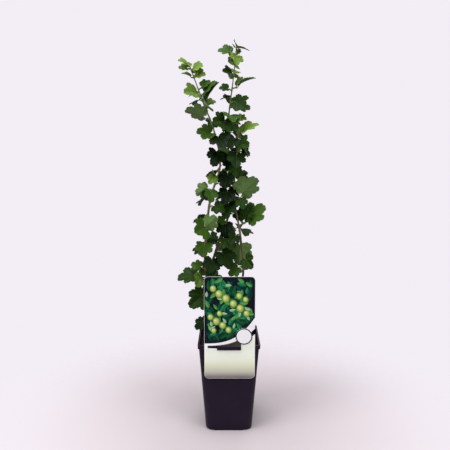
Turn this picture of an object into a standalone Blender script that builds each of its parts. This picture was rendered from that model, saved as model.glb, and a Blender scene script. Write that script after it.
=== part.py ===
# Gooseberry bush in a square pot, with the label card that hooks over the rim.
# Metres, +Z up, origin at the centre of the pot's flat underside, front towards -Y.
# Bearings are degrees seen from above: 0 right, 90 back, 180 left, 270 front.
import math

import bmesh
import bpy
from mathutils import Vector
from mathutils.bvhtree import BVHTree
from mathutils.geometry import interpolate_bezier

CLEARANCE = 0.0003

# Pot
RIM_HALF = 0.0600
RIM_CORNER = 0.0070
POT_HEIGHT = 0.1800
LIP_DEPTH = 0.0082
LIP_STEP = 0.0018
BASE_HALF = 0.0458
BASE_CORNER = 0.0165
WALL = 0.0014
FLOOR = 0.0035
EDGE_ROUND = 0.0007
CORNER_STEPS = 5
RELIEF_START = 0.0285
RELIEF_HEIGHT = 0.0018
DRAIN_RADIUS = 0.0040
DRAIN_PLACE = 0.0350
CLIP_WIDTH = 0.0440
CLIP_REACH = 0.0036
CLIP_MARGIN = 0.0006

# Compost
SOIL_TOP = 0.1600

# Label card, its outline given in the upright plane in front of the rim
CARD_WIDTH = 0.0960
CARD_LEFT = -0.0468
CARD_TOP = 0.3140
CARD_BOTTOM = 0.1150
CARD_THICKNESS = 0.0006
CARD_CORNER = 0.0080
ARC_STEPS = 5
CURVE_STEPS = 12
CURVE_START = 0.1845
CURVE_RISE = 0.0514
CURVE_POWER = 2.9
STRIPE_WIDTH = 0.0045
STRIPE_GROWTH = 0.0175
SLIT_HEIGHT = 0.0045
SLIT_GROWTH = 0.0065
SLIT_END = 0.065
WINDOW_LOW = 0.1708
WINDOW_MARGIN = 0.0010
BADGE_RADIUS = 0.0160
BADGE_X = 0.0283
BADGE_Z = 0.1986
BADGE_SIDES = 32

# Limbs: what each forks from, the knots its line runs through, first and last radius
LIMB_STEPS = 3
FOOT_HEIGHT = 0.0030
FLARE_HEIGHT = 0.012
FLARE_GAIN = 0.85
FORK_SEAT = 0.80
LIMBS = {
    "main_stem": (
        None,
        ((-0.004, 0.002, SOIL_TOP + CLEARANCE), (-0.014, -0.002, 0.206), (-0.043, -0.012, 0.305),
         (-0.045, -0.010, 0.373), (-0.036, -0.006, 0.454), (-0.017, 0.000, 0.520),
         (-0.029, -0.002, 0.586), (-0.048, -0.006, 0.635), (-0.073, -0.010, 0.702)),
        (0.0037, 0.0009)),
    "centre_stem": (
        ("main_stem", 0.312, 40),
        ((-0.030, -0.003, 0.338), (-0.018, 0.007, 0.375), (0.000, 0.012, 0.425), (0.002, 0.010, 0.500),
         (-0.002, 0.004, 0.590), (0.008, 0.002, 0.681), (0.014, 0.001, 0.734)),
        (0.0025, 0.0009)),
    "right_stem": (
        ("main_stem", 0.190, 25),
        ((0.008, 0.005, 0.214), (0.028, 0.000, 0.300), (0.023, -0.002, 0.379), (0.010, -0.003, 0.462),
         (0.016, -0.004, 0.549), (0.017, -0.004, 0.604)),
        (0.0028, 0.0010)),
}

# Foliage: limb, height on it, twig length, then for each leaf its bearing, its rise, how far
# its face is rolled from upward to the front, and the length of its blade
FOLIAGE = {
    "leaves_rim_left": ("main_stem", 0.210, 0.026, ((184, -24, 45, 0.021), (150, 15, 40, 0.020))),
    "leaves_hang_left": ("main_stem", 0.272, 0.008, ((222, -16, 58, 0.034), (150, -20, 40, 0.024))),
    "leaves_knot_left": ("main_stem", 0.300, 0.012, ((181, 12, 34, 0.033), (262, 0, 50, 0.026),
                                                     (170, 80, 60, 0.017))),
    "leaves_mid_left": ("main_stem", 0.394, 0.004, ((250, 14, 62, 0.033), (350, 62, -85, 0.026),
                                                    (300, -30, -80, 0.018))),
    "leaves_low_left": ("main_stem", 0.368, 0.004, ((262, -26, 15, 0.026),)),
    "leaves_high_left": ("main_stem", 0.470, 0.004, ((200, -2, -80, 0.024), (212, -50, 50, 0.018),
                                                     (275, -34, 15, 0.022))),
    "leaves_small_left": ("main_stem", 0.494, 0.004, ((225, -26, 55, 0.015), (255, 42, 50, 0.015))),
    "leaves_heart_low": ("main_stem", 0.546, 0.004, ((255, -32, 30, 0.029), (335, -34, 20, 0.029),
                                                     (340, 8, -80, 0.017))),
    "leaves_heart": ("main_stem", 0.572, 0.004, ((290, -14, 20, 0.032),)),
    "leaves_heart_left": ("main_stem", 0.578, 0.004, ((230, -6, 24, 0.022), (222, 30, 60, 0.024))),
    "leaves_shoot_low": ("main_stem", 0.607, 0.004, ((184, 38, -40, 0.033),)),
    "leaves_shoot_pale": ("main_stem", 0.624, 0.004, ((276, 24, 50, 0.026),)),
    "leaves_shoot_mid": ("main_stem", 0.630, 0.004, ((318, 74, 50, 0.035), (5, 34, 45, 0.015))),
    "leaves_shoot_high": ("main_stem", 0.650, 0.004, ((234, 18, 52, 0.027), (110, 5, 30, 0.016))),
    "leaves_shoot_neck": ("main_stem", 0.684, 0.003, ((330, 12, 60, 0.016), (350, 74, 60, 0.019))),
    "leaves_neck_left": ("main_stem", 0.682, 0.003, ((195, 40, 28, 0.015),)),
    "leaves_shoot_tip": ("main_stem", 0.702, 0.004, ((225, 34, 45, 0.017), (304, 16, 30, 0.012),
                                                     (100, 60, 20, 0.012))),
    "leaves_centre_foot": ("centre_stem", 0.352, 0.004, ((322, -34, 25, 0.033),)),
    "leaves_centre_low": ("centre_stem", 0.378, 0.004, ((310, -16, 25, 0.028), (345, 48, -80, 0.024))),
    "leaves_centre_turn": ("centre_stem", 0.408, 0.004, ((258, -52, 0, 0.026), (190, 10, 50, 0.016))),
    "leaves_centre_mid": ("centre_stem", 0.448, 0.004, ((268, -34, 0, 0.030),)),
    "leaves_centre_hang": ("centre_stem", 0.472, 0.004, ((250, -32, 10, 0.028), (322, -30, 30, 0.020))),
    "leaves_centre_fall": ("centre_stem", 0.506, 0.005, ((252, -38, -5, 0.029), (180, -5, 40, 0.018))),
    "leaves_centre_blue": ("centre_stem", 0.598, 0.004, ((235, 12, 62, 0.030), (300, -70, 10, 0.018))),
    "leaves_crook": ("centre_stem", 0.612, 0.004, ((282, -6, 10, 0.025),)),
    "leaves_upper_right": ("centre_stem", 0.628, 0.009, ((356, 8, 55, 0.022), (5, 50, 50, 0.025))),
    "leaves_upper_edge": ("centre_stem", 0.664, 0.008, ((4, 46, 10, 0.030), (340, 66, 60, 0.018))),
    "leaves_upper_left": ("centre_stem", 0.686, 0.003, ((230, 26, 60, 0.019),)),
    "leaves_top_dark": ("centre_stem", 0.706, 0.003, ((256, 12, 60, 0.027), (350, 50, 50, 0.011))),
    "leaves_top_left": ("centre_stem", 0.726, 0.003, ((186, 24, 45, 0.023),)),
    "leaves_top": ("centre_stem", 0.734, 0.006, ((262, 40, 60, 0.015), (0, 8, 12, 0.019),
                                                 (100, 40, 30, 0.012))),
    "leaves_right_foot": ("right_stem", 0.336, 0.004, ((292, -6, 60, 0.026),)),
    "leaves_right_pale": ("right_stem", 0.366, 0.005, ((100, -66, 15, 0.036),)),
    "leaves_right_wide": ("right_stem", 0.402, 0.014, ((352, 56, 62, 0.036), (300, 78, 60, 0.028))),
    "leaves_right_up": ("right_stem", 0.452, 0.010, ((350, 64, -58, 0.038), (295, -30, 20, 0.020))),
    "leaves_right_mid": ("right_stem", 0.516, 0.004, ((268, -30, 5, 0.020),)),
    "leaves_right_dark": ("right_stem", 0.540, 0.004, ((266, -30, 10, 0.028),)),
    "leaves_right_edge": ("right_stem", 0.556, 0.004, ((292, 10, 60, 0.028), (355, -28, 6, 0.018),
                                                       (30, 10, 30, 0.020))),
    "leaves_right_bright": ("right_stem", 0.576, 0.004, ((354, 46, 30, 0.030), (250, 64, 30, 0.015))),
    "leaves_right_tip": ("right_stem", 0.604, 0.004, ((285, 0, -60, 0.016), (335, 10, 50, 0.013),
                                                      (130, 30, 20, 0.016))),
    "leaves_back_foot": ("main_stem", 0.262, 0.005, ((100, 0, 30, 0.029), (60, 20, 30, 0.024))),
    "leaves_back_low": ("main_stem", 0.352, 0.005, ((105, -5, 30, 0.029), (150, 10, 30, 0.020))),
    "leaves_back_left": ("main_stem", 0.412, 0.005, ((100, -25, 20, 0.031), (140, 0, 30, 0.022))),
    "leaves_back_knee": ("main_stem", 0.508, 0.005, ((110, -10, 30, 0.027), (150, -20, 30, 0.020))),
    "leaves_back_shoot": ("main_stem", 0.598, 0.004, ((80, 5, 30, 0.024), (130, 10, 30, 0.020))),
    "leaves_back_centre": ("centre_stem", 0.364, 0.005, ((85, -12, 20, 0.032), (130, 5, 20, 0.026))),
    "leaves_back_middle": ("centre_stem", 0.456, 0.005, ((75, -20, 20, 0.032), (120, -5, 20, 0.027))),
    "leaves_back_heart": ("centre_stem", 0.545, 0.005, ((95, -15, 20, 0.031), (45, 0, 20, 0.024))),
    "leaves_back_upper": ("centre_stem", 0.645, 0.004, ((95, 5, 20, 0.022), (150, 15, 20, 0.017))),
    "leaves_back_right": ("right_stem", 0.392, 0.005, ((70, -10, 20, 0.031), (110, 10, 20, 0.026))),
    "leaves_back_high": ("right_stem", 0.480, 0.005, ((60, -15, 20, 0.031), (110, 0, 20, 0.026))),
}
SPUR_LEAN = 0.35
SPUR_RADIUS = 0.0012
BUD_STEP = 0.24
STALK_RADIUS = 0.0006
STALK_SHARE = 0.34
STALK_SINK = 0.12
BLADE_DROOP = 16
BLADE_FOLD = 0.28
BLADE_CURL = 0.16
BLADE_THINNESS = 45
BLADE_MIDDLE = 0.38
BLADE_SPACE = 0.0007
TRIES = 21
TURN_STEP = 6
# half of a blade's lobed outline: angle from the midrib, reach as a share of its length
LOBES = ((8, 1.00), (26, 0.68), (38, 0.80), (54, 0.74), (76, 0.46), (98, 0.46), (130, 0.36))
LOBE_BASE = 0.05


def make_material(name, colour, roughness):
    made = bpy.data.materials.new(name)
    made.use_nodes = True
    shader = made.node_tree.nodes["Principled BSDF"]
    shader.inputs["Base Color"].default_value = (*colour, 1.0)
    shader.inputs["Roughness"].default_value = roughness
    return made


def make_collection(name):
    made = bpy.data.collections.new(name)
    bpy.context.scene.collection.children.link(made)
    return made


def mesh_from(verts, faces):
    mesh = bpy.data.meshes.new("shape")
    mesh.from_pydata([tuple(v) for v in verts], [], faces)
    return mesh


def add_object(name, mesh, collection, finish=None):
    made = bpy.data.objects.new(name, mesh)
    made.data.name = name
    collection.objects.link(made)
    if finish:
        mesh.materials.clear()
        mesh.materials.append(finish)
    return made


def add_cutter(name, bm, collection):
    mesh = bpy.data.meshes.new(name)
    bm.to_mesh(mesh)
    bm.free()
    made = add_object(name, mesh, collection)
    made.hide_render = True
    made.display_type = "WIRE"
    return made


def add_boolean(target, other, operation):
    step = target.modifiers.new(operation.title(), "BOOLEAN")
    step.operation = operation
    step.object = other


def evaluated_mesh(source):
    depsgraph = bpy.context.evaluated_depsgraph_get()
    return bpy.data.meshes.new_from_object(source.evaluated_get(depsgraph), depsgraph=depsgraph)


def settle(obj):
    # the object's modifiers become part of its own mesh
    mesh = evaluated_mesh(obj)
    obj.modifiers.clear()
    obj.data = mesh
    mesh.name = obj.name
    return obj


def tree_of(mesh):
    return BVHTree.FromPolygons([v.co.copy() for v in mesh.vertices], [tuple(p.vertices) for p in mesh.polygons])


# Pot and compost

def mix(low, high, share):
    return low + (high - low) * share


def square_ring(half, corner, height):
    ring = []
    for quarter in range(4):
        turn = math.pi / 2 * quarter
        across = Vector((math.cos(turn), math.sin(turn), 0))
        along = Vector((-math.sin(turn), math.cos(turn), 0))
        middle = (across + along) * (half - corner)
        for step in range(CORNER_STEPS + 1):
            angle = math.pi / 2 * step / CORNER_STEPS
            point = middle + (across * math.cos(angle) + along * math.sin(angle)) * corner
            ring.append(point + Vector((0, 0, height)))
    return ring


def loft(rings):
    count = len(rings[0])
    verts = [point for ring in rings for point in ring]
    faces = [tuple(reversed(range(count)))]
    for level in range(len(rings) - 1):
        for i in range(count):
            j = (i + 1) % count
            low, high = level * count, (level + 1) * count
            faces.append((low + i, low + j, high + j, high + i))
    faces.append(tuple(range(len(verts) - count, len(verts))))
    return mesh_from(verts, faces)


def wall_ring(height, inset):
    share = height / POT_HEIGHT
    half = mix(BASE_HALF, RIM_HALF - LIP_STEP, share)
    corner = mix(BASE_CORNER, RIM_CORNER - LIP_STEP, share)
    return square_ring(half - inset, corner - inset, height)


def box_bmesh(low, high):
    bm = bmesh.new()
    bmesh.ops.create_cube(bm, size=1.0)
    middle = [(a + b) / 2 for a, b in zip(low, high)]
    bmesh.ops.scale(bm, vec=[b - a for a, b in zip(low, high)], verts=bm.verts)
    bmesh.ops.translate(bm, vec=middle, verts=bm.verts)
    return bm


def make_pot(collection, cutters, finish):
    lip_low = POT_HEIGHT - LIP_DEPTH
    pot = add_object("pot", loft([
        square_ring(BASE_HALF - EDGE_ROUND, BASE_CORNER - EDGE_ROUND, 0),
        wall_ring(EDGE_ROUND, 0),
        wall_ring(lip_low, 0),
        square_ring(RIM_HALF, RIM_CORNER, lip_low),
        square_ring(RIM_HALF, RIM_CORNER, POT_HEIGHT - EDGE_ROUND),
        square_ring(RIM_HALF - EDGE_ROUND, RIM_CORNER - EDGE_ROUND, POT_HEIGHT),
        wall_ring(POT_HEIGHT, WALL),
        wall_ring(FLOOR, WALL),
    ]), collection, finish)
    clip = add_cutter("clip", box_bmesh(
        (-CLIP_WIDTH / 2, -RIM_HALF - CLIP_REACH, lip_low + CLIP_MARGIN),
        (CLIP_WIDTH / 2, -RIM_HALF + WALL / 2, POT_HEIGHT - CLIP_MARGIN)), cutters)
    add_boolean(pot, clip, "UNION")
    for side_x in (-1, 1):
        for side_y in (-1, 1):
            corners = [sorted((side * RELIEF_START, side * RIM_HALF)) for side in (side_x, side_y)]
            relief = add_cutter("relief", box_bmesh(
                (corners[0][0], corners[1][0], -RELIEF_HEIGHT),
                (corners[0][1], corners[1][1], RELIEF_HEIGHT)), cutters)
            add_boolean(pot, relief, "DIFFERENCE")
            drill = bmesh.new()
            bmesh.ops.create_cone(drill, cap_ends=True, segments=16, radius1=DRAIN_RADIUS,
                                  radius2=DRAIN_RADIUS, depth=4 * FLOOR)
            bmesh.ops.translate(drill, vec=(side_x * DRAIN_PLACE, side_y * DRAIN_PLACE, 0), verts=drill.verts)
            add_boolean(pot, add_cutter("drain", drill, cutters), "DIFFERENCE")
    return settle(pot)


def make_soil(collection, finish):
    inset = WALL + CLEARANCE
    rings = [wall_ring(FLOOR + CLEARANCE, inset), wall_ring(SOIL_TOP, inset)]
    return add_object("compost", loft(rings), collection, finish)


# Label card

def card_x(share):
    return CARD_LEFT + CARD_WIDTH * share


def slit_top(share):
    picture_edge = CURVE_START + CURVE_RISE * share ** CURVE_POWER
    return picture_edge - STRIPE_WIDTH - STRIPE_GROWTH * share ** 3


def slit_low(share):
    return slit_top(share) - SLIT_HEIGHT - SLIT_GROWTH * share


def corner_arc(x, z, first):
    arc = []
    for step in range(ARC_STEPS + 1):
        angle = math.radians(first + 90 * step / ARC_STEPS)
        arc.append((x + CARD_CORNER * math.cos(angle), z + CARD_CORNER * math.sin(angle)))
    return arc


def slit_edge(line, first, last):
    shares = [mix(first, last, step / CURVE_STEPS) for step in range(CURVE_STEPS + 1)]
    return [(card_x(share), line(share)) for share in shares]


def card_outline():
    left, right = CARD_LEFT + CARD_CORNER, CARD_LEFT + CARD_WIDTH - CARD_CORNER
    window_half = CLIP_WIDTH / 2 + WINDOW_MARGIN
    window_left = (-window_half - CARD_LEFT) / CARD_WIDTH
    window_right = (window_half - CARD_LEFT) / CARD_WIDTH
    outline = corner_arc(right, CARD_TOP - CARD_CORNER, 0)
    outline += corner_arc(left, CARD_TOP - CARD_CORNER, 90)
    outline += corner_arc(left, CARD_BOTTOM + CARD_CORNER, 180)
    outline += corner_arc(right, CARD_BOTTOM + CARD_CORNER, 270)
    outline += slit_edge(slit_low, 1.0, window_right)
    outline += [(window_half, WINDOW_LOW), (-window_half, WINDOW_LOW)]
    outline += slit_edge(slit_low, window_left, SLIT_END)
    outline += slit_edge(slit_top, SLIT_END, 1.0)
    return outline


def make_card(collection, finish):
    curve = bpy.data.curves.new("outline", "CURVE")
    curve.dimensions = "2D"
    curve.fill_mode = "BOTH"
    curve.extrude = CARD_THICKNESS / 2
    spline = curve.splines.new("POLY")
    outline = card_outline()
    spline.points.add(len(outline) - 1)
    for point, (x, z) in zip(spline.points, outline):
        point.co = (x, z, 0, 1)
    spline.use_cyclic_u = True
    flat = add_object("outline", curve, collection)
    mesh = evaluated_mesh(flat)
    bpy.data.objects.remove(flat)
    weld(mesh)
    front = -RIM_HALF - CLEARANCE - CARD_THICKNESS / 2
    for vertex in mesh.vertices:
        x, z, depth = vertex.co
        vertex.co = (x, front - depth, z)
    return add_object("label_card", mesh, collection, finish)


def weld(mesh):
    bm = bmesh.new()
    bm.from_mesh(mesh)
    bmesh.ops.remove_doubles(bm, verts=bm.verts, dist=0.00001)
    bmesh.ops.recalc_face_normals(bm, faces=bm.faces)
    bm.to_mesh(mesh)
    bm.free()


def make_badge(collection, finish):
    bm = bmesh.new()
    bmesh.ops.create_cone(bm, cap_ends=True, segments=BADGE_SIDES, radius1=BADGE_RADIUS,
                          radius2=BADGE_RADIUS, depth=CARD_THICKNESS)
    depth = -RIM_HALF - 2 * CLEARANCE - 1.5 * CARD_THICKNESS
    for vert in bm.verts:
        x, z, y = vert.co
        vert.co = (BADGE_X + x, depth - y, BADGE_Z + z)
    mesh = bpy.data.meshes.new("badge")
    bmesh.ops.recalc_face_normals(bm, faces=bm.faces)
    bm.to_mesh(mesh)
    bm.free()
    return add_object("label_badge", mesh, collection, finish)


# Limbs

def heading(bearing, rise):
    flat = math.cos(math.radians(rise))
    return Vector((flat * math.cos(math.radians(bearing)), flat * math.sin(math.radians(bearing)),
                   math.sin(math.radians(rise))))


def smooth_line(knots):
    # a Catmull-Rom line through the knots
    points = [Vector(k) for k in knots]
    ends = [2 * points[0] - points[1]] + points + [2 * points[-1] - points[-2]]
    line = []
    for before, start, end, after in zip(ends, ends[1:], ends[2:], ends[3:]):
        handle_out = start + (end - before) / 6
        handle_in = end - (after - start) / 6
        line += interpolate_bezier(start, handle_out, handle_in, end, LIMB_STEPS + 1)[:-1]
    return line + [points[-1]]


def limb_line(name):
    fork, knots, (first, last) = LIMBS[name]
    if fork:
        parent, height, bearing = fork
        place, parent_radius = at_height(limb_line(parent), height)
        seat = parent_radius + CLEARANCE + first * FORK_SEAT
        points = smooth_line([place + heading(bearing, 0) * seat, *knots])
    else:
        foot = Vector(knots[0])
        points = [foot] + smooth_line([foot + Vector((0, 0, FOOT_HEIGHT)), *knots[1:]])
    lengths = [0.0]
    for a, b in zip(points, points[1:]):
        lengths.append(lengths[-1] + (b - a).length)
    radii = []
    for point, length in zip(points, lengths):
        radius = mix(first, last, length / lengths[-1])
        if not fork:
            radius *= 1 + FLARE_GAIN * math.exp(-(point.z - points[0].z) / FLARE_HEIGHT)
        radii.append(radius)
    return list(zip(points, radii))


def at_height(line, height):
    for (a, radius_a), (b, radius_b) in zip(line, line[1:]):
        if a.z <= height <= b.z:
            share = (height - a.z) / (b.z - a.z)
            return a.lerp(b, share), mix(radius_a, radius_b, share)
    return line[-1]


def make_limb(name, collection, finish):
    curve = bpy.data.curves.new(name, "CURVE")
    curve.dimensions = "3D"
    curve.bevel_depth = 1.0
    curve.bevel_resolution = 2
    curve.use_fill_caps = True
    line = limb_line(name)
    spline = curve.splines.new("POLY")
    spline.points.add(len(line) - 1)
    for point, (place, radius) in zip(spline.points, line):
        point.co = (*place, 1)
        point.radius = radius
    guide = add_object("guide", curve, collection)
    mesh = evaluated_mesh(guide)
    bpy.data.objects.remove(guide)
    weld(mesh)
    return add_object(name, mesh, collection, finish)


# Leaves

def blade_frame(bearing, rise, roll):
    along = heading(bearing, rise - BLADE_DROOP)
    side = along.cross(Vector((0, 0, 1))).normalized()
    upward = side.cross(along)
    frontward = side if side.dot(Vector((0.25, -1, 0))) > 0 else -side
    face = upward * math.cos(math.radians(roll)) + frontward * math.sin(math.radians(roll))
    return along, along.cross(face), face


def blade_shape(base, frame, size, space=0.0):
    # a thin lens in the leaf's lobed outline: one rim, one crown point and one keel point
    along, across, face = frame
    half = [(math.radians(angle), reach) for angle, reach in LOBES]
    outline = half + [(math.pi, LOBE_BASE)] + [(-angle, reach) for angle, reach in reversed(half)]
    verts = []
    for angle, reach in outline:
        u, v = math.cos(angle) * (size * reach + space), math.sin(angle) * (size * reach + space)
        verts.append(base + along * u + across * v + face * blade_lift(u, v, size))
    middle = size * BLADE_MIDDLE
    centre = base + along * middle + face * blade_lift(middle, 0, size)
    thickness = size / BLADE_THINNESS / 2 + space
    verts += [centre + face * thickness, centre - face * thickness]
    count = len(outline)
    faces = []
    for i in range(count):
        j = (i + 1) % count
        faces += [(count, i, j), (count + 1, j, i)]
    return verts, faces


def blade_lift(u, v, size):
    return BLADE_FOLD * abs(v) - BLADE_CURL * u * u / size


def tube_shape(points, radius):
    verts, faces = [], []
    for i, point in enumerate(points):
        along = (points[min(i + 1, len(points) - 1)] - points[max(i - 1, 0)]).normalized()
        side = along.orthogonal().normalized() if i == 0 else (side - along * side.dot(along)).normalized()
        lift = along.cross(side)
        for turn in (0, 1, 2):
            angle = math.tau * turn / 3
            verts.append(point + (side * math.cos(angle) + lift * math.sin(angle)) * radius)
    for i in range(len(points) - 1):
        for turn in (0, 1, 2):
            a, b = 3 * i + turn, 3 * i + (turn + 1) % 3
            faces.append((a, b, b + 3, a + 3))
    last = 3 * (len(points) - 1)
    return verts, faces + [(2, 1, 0), (last, last + 1, last + 2)]


def limb_axis(line, height):
    for (a, _), (b, _) in zip(line, line[1:]):
        if a.z <= height <= b.z:
            return (b - a).normalized()
    return None


def spur_line(limb_tree, line, height, bearing, length):
    place, _ = at_height(line, height)
    axis = limb_axis(line, height)
    if axis:
        outward = heading(bearing, 0)
        way = ((outward - axis * outward.dot(axis)).normalized() + axis * SPUR_LEAN).normalized()
    else:
        way = (line[-1][0] - line[-2][0]).normalized()
    start = place.copy()
    while inside(limb_tree, start) or crosses(spur_space(start, start + way * length), [limb_tree]):
        start += way * CLEARANCE / 3
    return start, start + way * length, way


def spur_space(start, tip):
    back = (start - tip).normalized() * CLEARANCE
    return tube_shape([start + back, tip], SPUR_RADIUS + CLEARANCE)


def inside(tree, point):
    nearest, normal, _, _ = tree.find_nearest(point)
    return (point - nearest).dot(normal) < 0


def leaf_shapes(bud, way, leaf, space):
    bearing, rise, roll, size = leaf
    length = size * STALK_SHARE
    frame = blade_frame(bearing, rise, roll)
    base = bud + heading(bearing, rise) * length
    bend = interpolate_bezier(bud - way * SPUR_RADIUS, bud + way * length / 3,
                              base - frame[0] * length / 3, base, 3)[:2]
    blade = blade_shape(base, frame, size, space)
    stalk = tube_shape(bend + [base + frame[0] * size * STALK_SINK], STALK_RADIUS + space)
    return blade, stalk


def crosses(shape, trees):
    tree = BVHTree.FromPolygons(*shape)
    return any(tree.overlap(other) for other in trees)


def fit_leaf(bud, way, leaf, taken, own):
    # the leaf is turned a little further each try until it has its space to itself
    bearing, rise, roll, size = leaf
    for kept_off in (taken + own, taken):
        for attempt in range(TRIES):
            step = (attempt + 1) // 2 * (1 if attempt % 2 else -1)
            turned = (bearing + step * TURN_STEP, rise + step, roll, size)
            blade, stalk = leaf_shapes(bud, way, turned, BLADE_SPACE)
            if not crosses(blade, kept_off) and not crosses(stalk, taken):
                return turned
    return None


def largest_island(mesh):
    bm = bmesh.new()
    bm.from_mesh(mesh)
    rest, islands = set(bm.verts), []
    while rest:
        island, edge = set(), [rest.pop()]
        while edge:
            vert = edge.pop()
            island.add(vert)
            for link in vert.link_edges:
                other = link.other_vert(vert)
                if other in rest:
                    rest.remove(other)
                    edge.append(other)
        islands.append(island)
    islands.sort(key=len)
    for scrap in islands[:-1]:
        bmesh.ops.delete(bm, geom=list(scrap), context="VERTS")
    bm.to_mesh(mesh)
    bm.free()


def fuse(name, shapes, collection, finish):
    body = add_object(name, mesh_from(*shapes[0]), collection)
    pieces = make_collection("pieces")
    for shape in shapes[1:]:
        add_object("piece", mesh_from(*shape), pieces)
    step = body.modifiers.new("Union", "BOOLEAN")
    step.operation = "UNION"
    step.operand_type = "COLLECTION"
    step.collection = pieces
    settle(body)
    for piece in list(pieces.objects):
        bpy.data.objects.remove(piece)
    bpy.data.collections.remove(pieces)
    largest_island(body.data)
    body.data.materials.clear()
    body.data.materials.append(finish)
    return body


def make_foliage(collection, finish, limbs, still):
    spurs = {}
    for name, (limb, height, length, leaves) in FOLIAGE.items():
        spurs[name] = spur_line(tree_of(limbs[limb].data), limb_line(limb), height, leaves[0][0], length)
    spaces = {name: BVHTree.FromPolygons(*spur_space(start, tip)) for name, (start, tip, _) in spurs.items()}
    for name, (_, _, _, leaves) in FOLIAGE.items():
        start, tip, way = spurs[name]
        taken = still + [space for other, space in spaces.items() if other != name]
        shapes, own = [tube_shape([start, tip], SPUR_RADIUS)], []
        for index, leaf in enumerate(leaves):
            bud = tip.lerp(start, BUD_STEP * index)
            fitted = fit_leaf(bud, way, leaf, taken, own)
            if not fitted:
                print("skipped a leaf of", name)
                continue
            shapes += leaf_shapes(bud, way, fitted, 0.0)
            blade, stalk = leaf_shapes(bud, way, fitted, BLADE_SPACE / 2)
            own.append(BVHTree.FromPolygons(*blade))
            still += [own[-1], BVHTree.FromPolygons(*stalk)]
        fuse(name, shapes, collection, finish)


def main():
    for obj in list(bpy.data.objects):
        bpy.data.objects.remove(obj)
    bush = make_collection("potted_gooseberry")
    cutters = make_collection("cutters")
    plastic = make_material("pot_plastic", (0.018, 0.010, 0.023), 0.45)
    compost = make_material("compost", (0.035, 0.022, 0.014), 0.95)
    print_card = make_material("card_print", (0.10, 0.22, 0.14), 0.35)
    white_card = make_material("card_white", (0.85, 0.85, 0.87), 0.35)
    bark = make_material("bark", (0.16, 0.09, 0.06), 0.8)
    leaf = make_material("leaf", (0.04, 0.13, 0.02), 0.5)
    still = [make_pot(bush, cutters, plastic), make_soil(bush, compost),
             make_card(bush, print_card), make_badge(bush, white_card)]
    limbs = {name: make_limb(name, bush, bark) for name in LIMBS}
    taken = [tree_of(obj.data) for obj in still + list(limbs.values())]
    make_foliage(bush, leaf, limbs, taken)


main()
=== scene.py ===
# Gooseberry bush in a square pot: fine leaves, twigs, bark, compost, moulded pot and label card.
# Metres, +Z up, front towards -Y. Bearings are degrees seen from above: 0 right, 90 back, 180 left, 270 front.
import math
import random

import bmesh
import bpy
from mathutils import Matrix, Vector, noise
from mathutils.bvhtree import BVHTree
from mathutils.geometry import interpolate_bezier


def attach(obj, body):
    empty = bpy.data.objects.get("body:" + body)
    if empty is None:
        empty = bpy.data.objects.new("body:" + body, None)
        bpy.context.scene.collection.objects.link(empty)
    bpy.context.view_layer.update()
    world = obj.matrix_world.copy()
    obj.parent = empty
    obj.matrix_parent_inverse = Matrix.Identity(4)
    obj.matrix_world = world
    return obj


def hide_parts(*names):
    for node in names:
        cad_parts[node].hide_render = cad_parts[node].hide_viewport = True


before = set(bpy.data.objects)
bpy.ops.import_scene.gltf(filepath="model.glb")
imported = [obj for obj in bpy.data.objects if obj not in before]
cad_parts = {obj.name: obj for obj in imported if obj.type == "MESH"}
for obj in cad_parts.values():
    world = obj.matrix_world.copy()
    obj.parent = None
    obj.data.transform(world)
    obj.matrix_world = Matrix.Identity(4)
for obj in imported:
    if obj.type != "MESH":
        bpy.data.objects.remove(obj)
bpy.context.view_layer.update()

clearance = 0.0003


# Helpers

def mix(low, high, share):
    return low + (high - low) * share


def linear(red, green, blue):
    # a colour as it is seen on a screen, in the values that a shader takes
    return tuple((c / 255 / 12.92) if c < 11 else ((c / 255 + 0.055) / 1.055) ** 2.4 for c in (red, green, blue))


def twoTones(colour, share):
    # a plain colour and a darker one for its patches
    plain = linear(*colour)
    return {"first": plain, "second": tuple(c * share for c in plain)}


def polar(degrees, far=1.0):
    return math.cos(math.radians(degrees)) * far, math.sin(math.radians(degrees)) * far


def meshFrom(verts, faces, slots=None, smooth=True):
    mesh = bpy.data.meshes.new("shape")
    mesh.from_pydata([tuple(v) for v in verts], [], faces)
    for index, face in enumerate(mesh.polygons):
        face.use_smooth = smooth
        if slots:
            face.material_index = slots[index]
    return mesh


def meshOf(bm):
    mesh = bpy.data.meshes.new("shape")
    bm.to_mesh(mesh)
    bm.free()
    return mesh


def bandFaces(levels, count):
    # the faces between rings of as many points each
    faces = []
    for level in range(levels):
        for i in range(count):
            j = (i + 1) % count
            faces.append((level * count + i, level * count + j, (level + 1) * count + j, (level + 1) * count + i))
    return faces


def addPiece(name, data, *finishes):
    piece = bpy.data.objects.new(name, data)
    data.name = name
    bpy.context.scene.collection.objects.link(piece)
    for finish in finishes:
        data.materials.append(finish)
    return piece


def bakePiece(piece):
    # the modifiers' result becomes the piece's own plain mesh
    depsgraph = bpy.context.evaluated_depsgraph_get()
    mesh = bpy.data.meshes.new_from_object(piece.evaluated_get(depsgraph), depsgraph=depsgraph)
    name = piece.name
    bpy.data.objects.remove(piece)
    return addPiece(name, mesh)


def declare(piece, slot, *nodes):
    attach(piece, "root")
    if nodes:
        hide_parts(*nodes)
    return piece


def treeOf(mesh):
    return BVHTree.FromPolygons([v.co.copy() for v in mesh.vertices], [tuple(p.vertices) for p in mesh.polygons])


def addModifier(piece, tree, values):
    step = piece.modifiers.new(tree.name, "NODES")
    step.node_group = tree
    for item in tree.interface.items_tree:
        if item.in_out == "INPUT" and item.name in values:
            step[item.identifier] = values[item.name]


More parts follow.
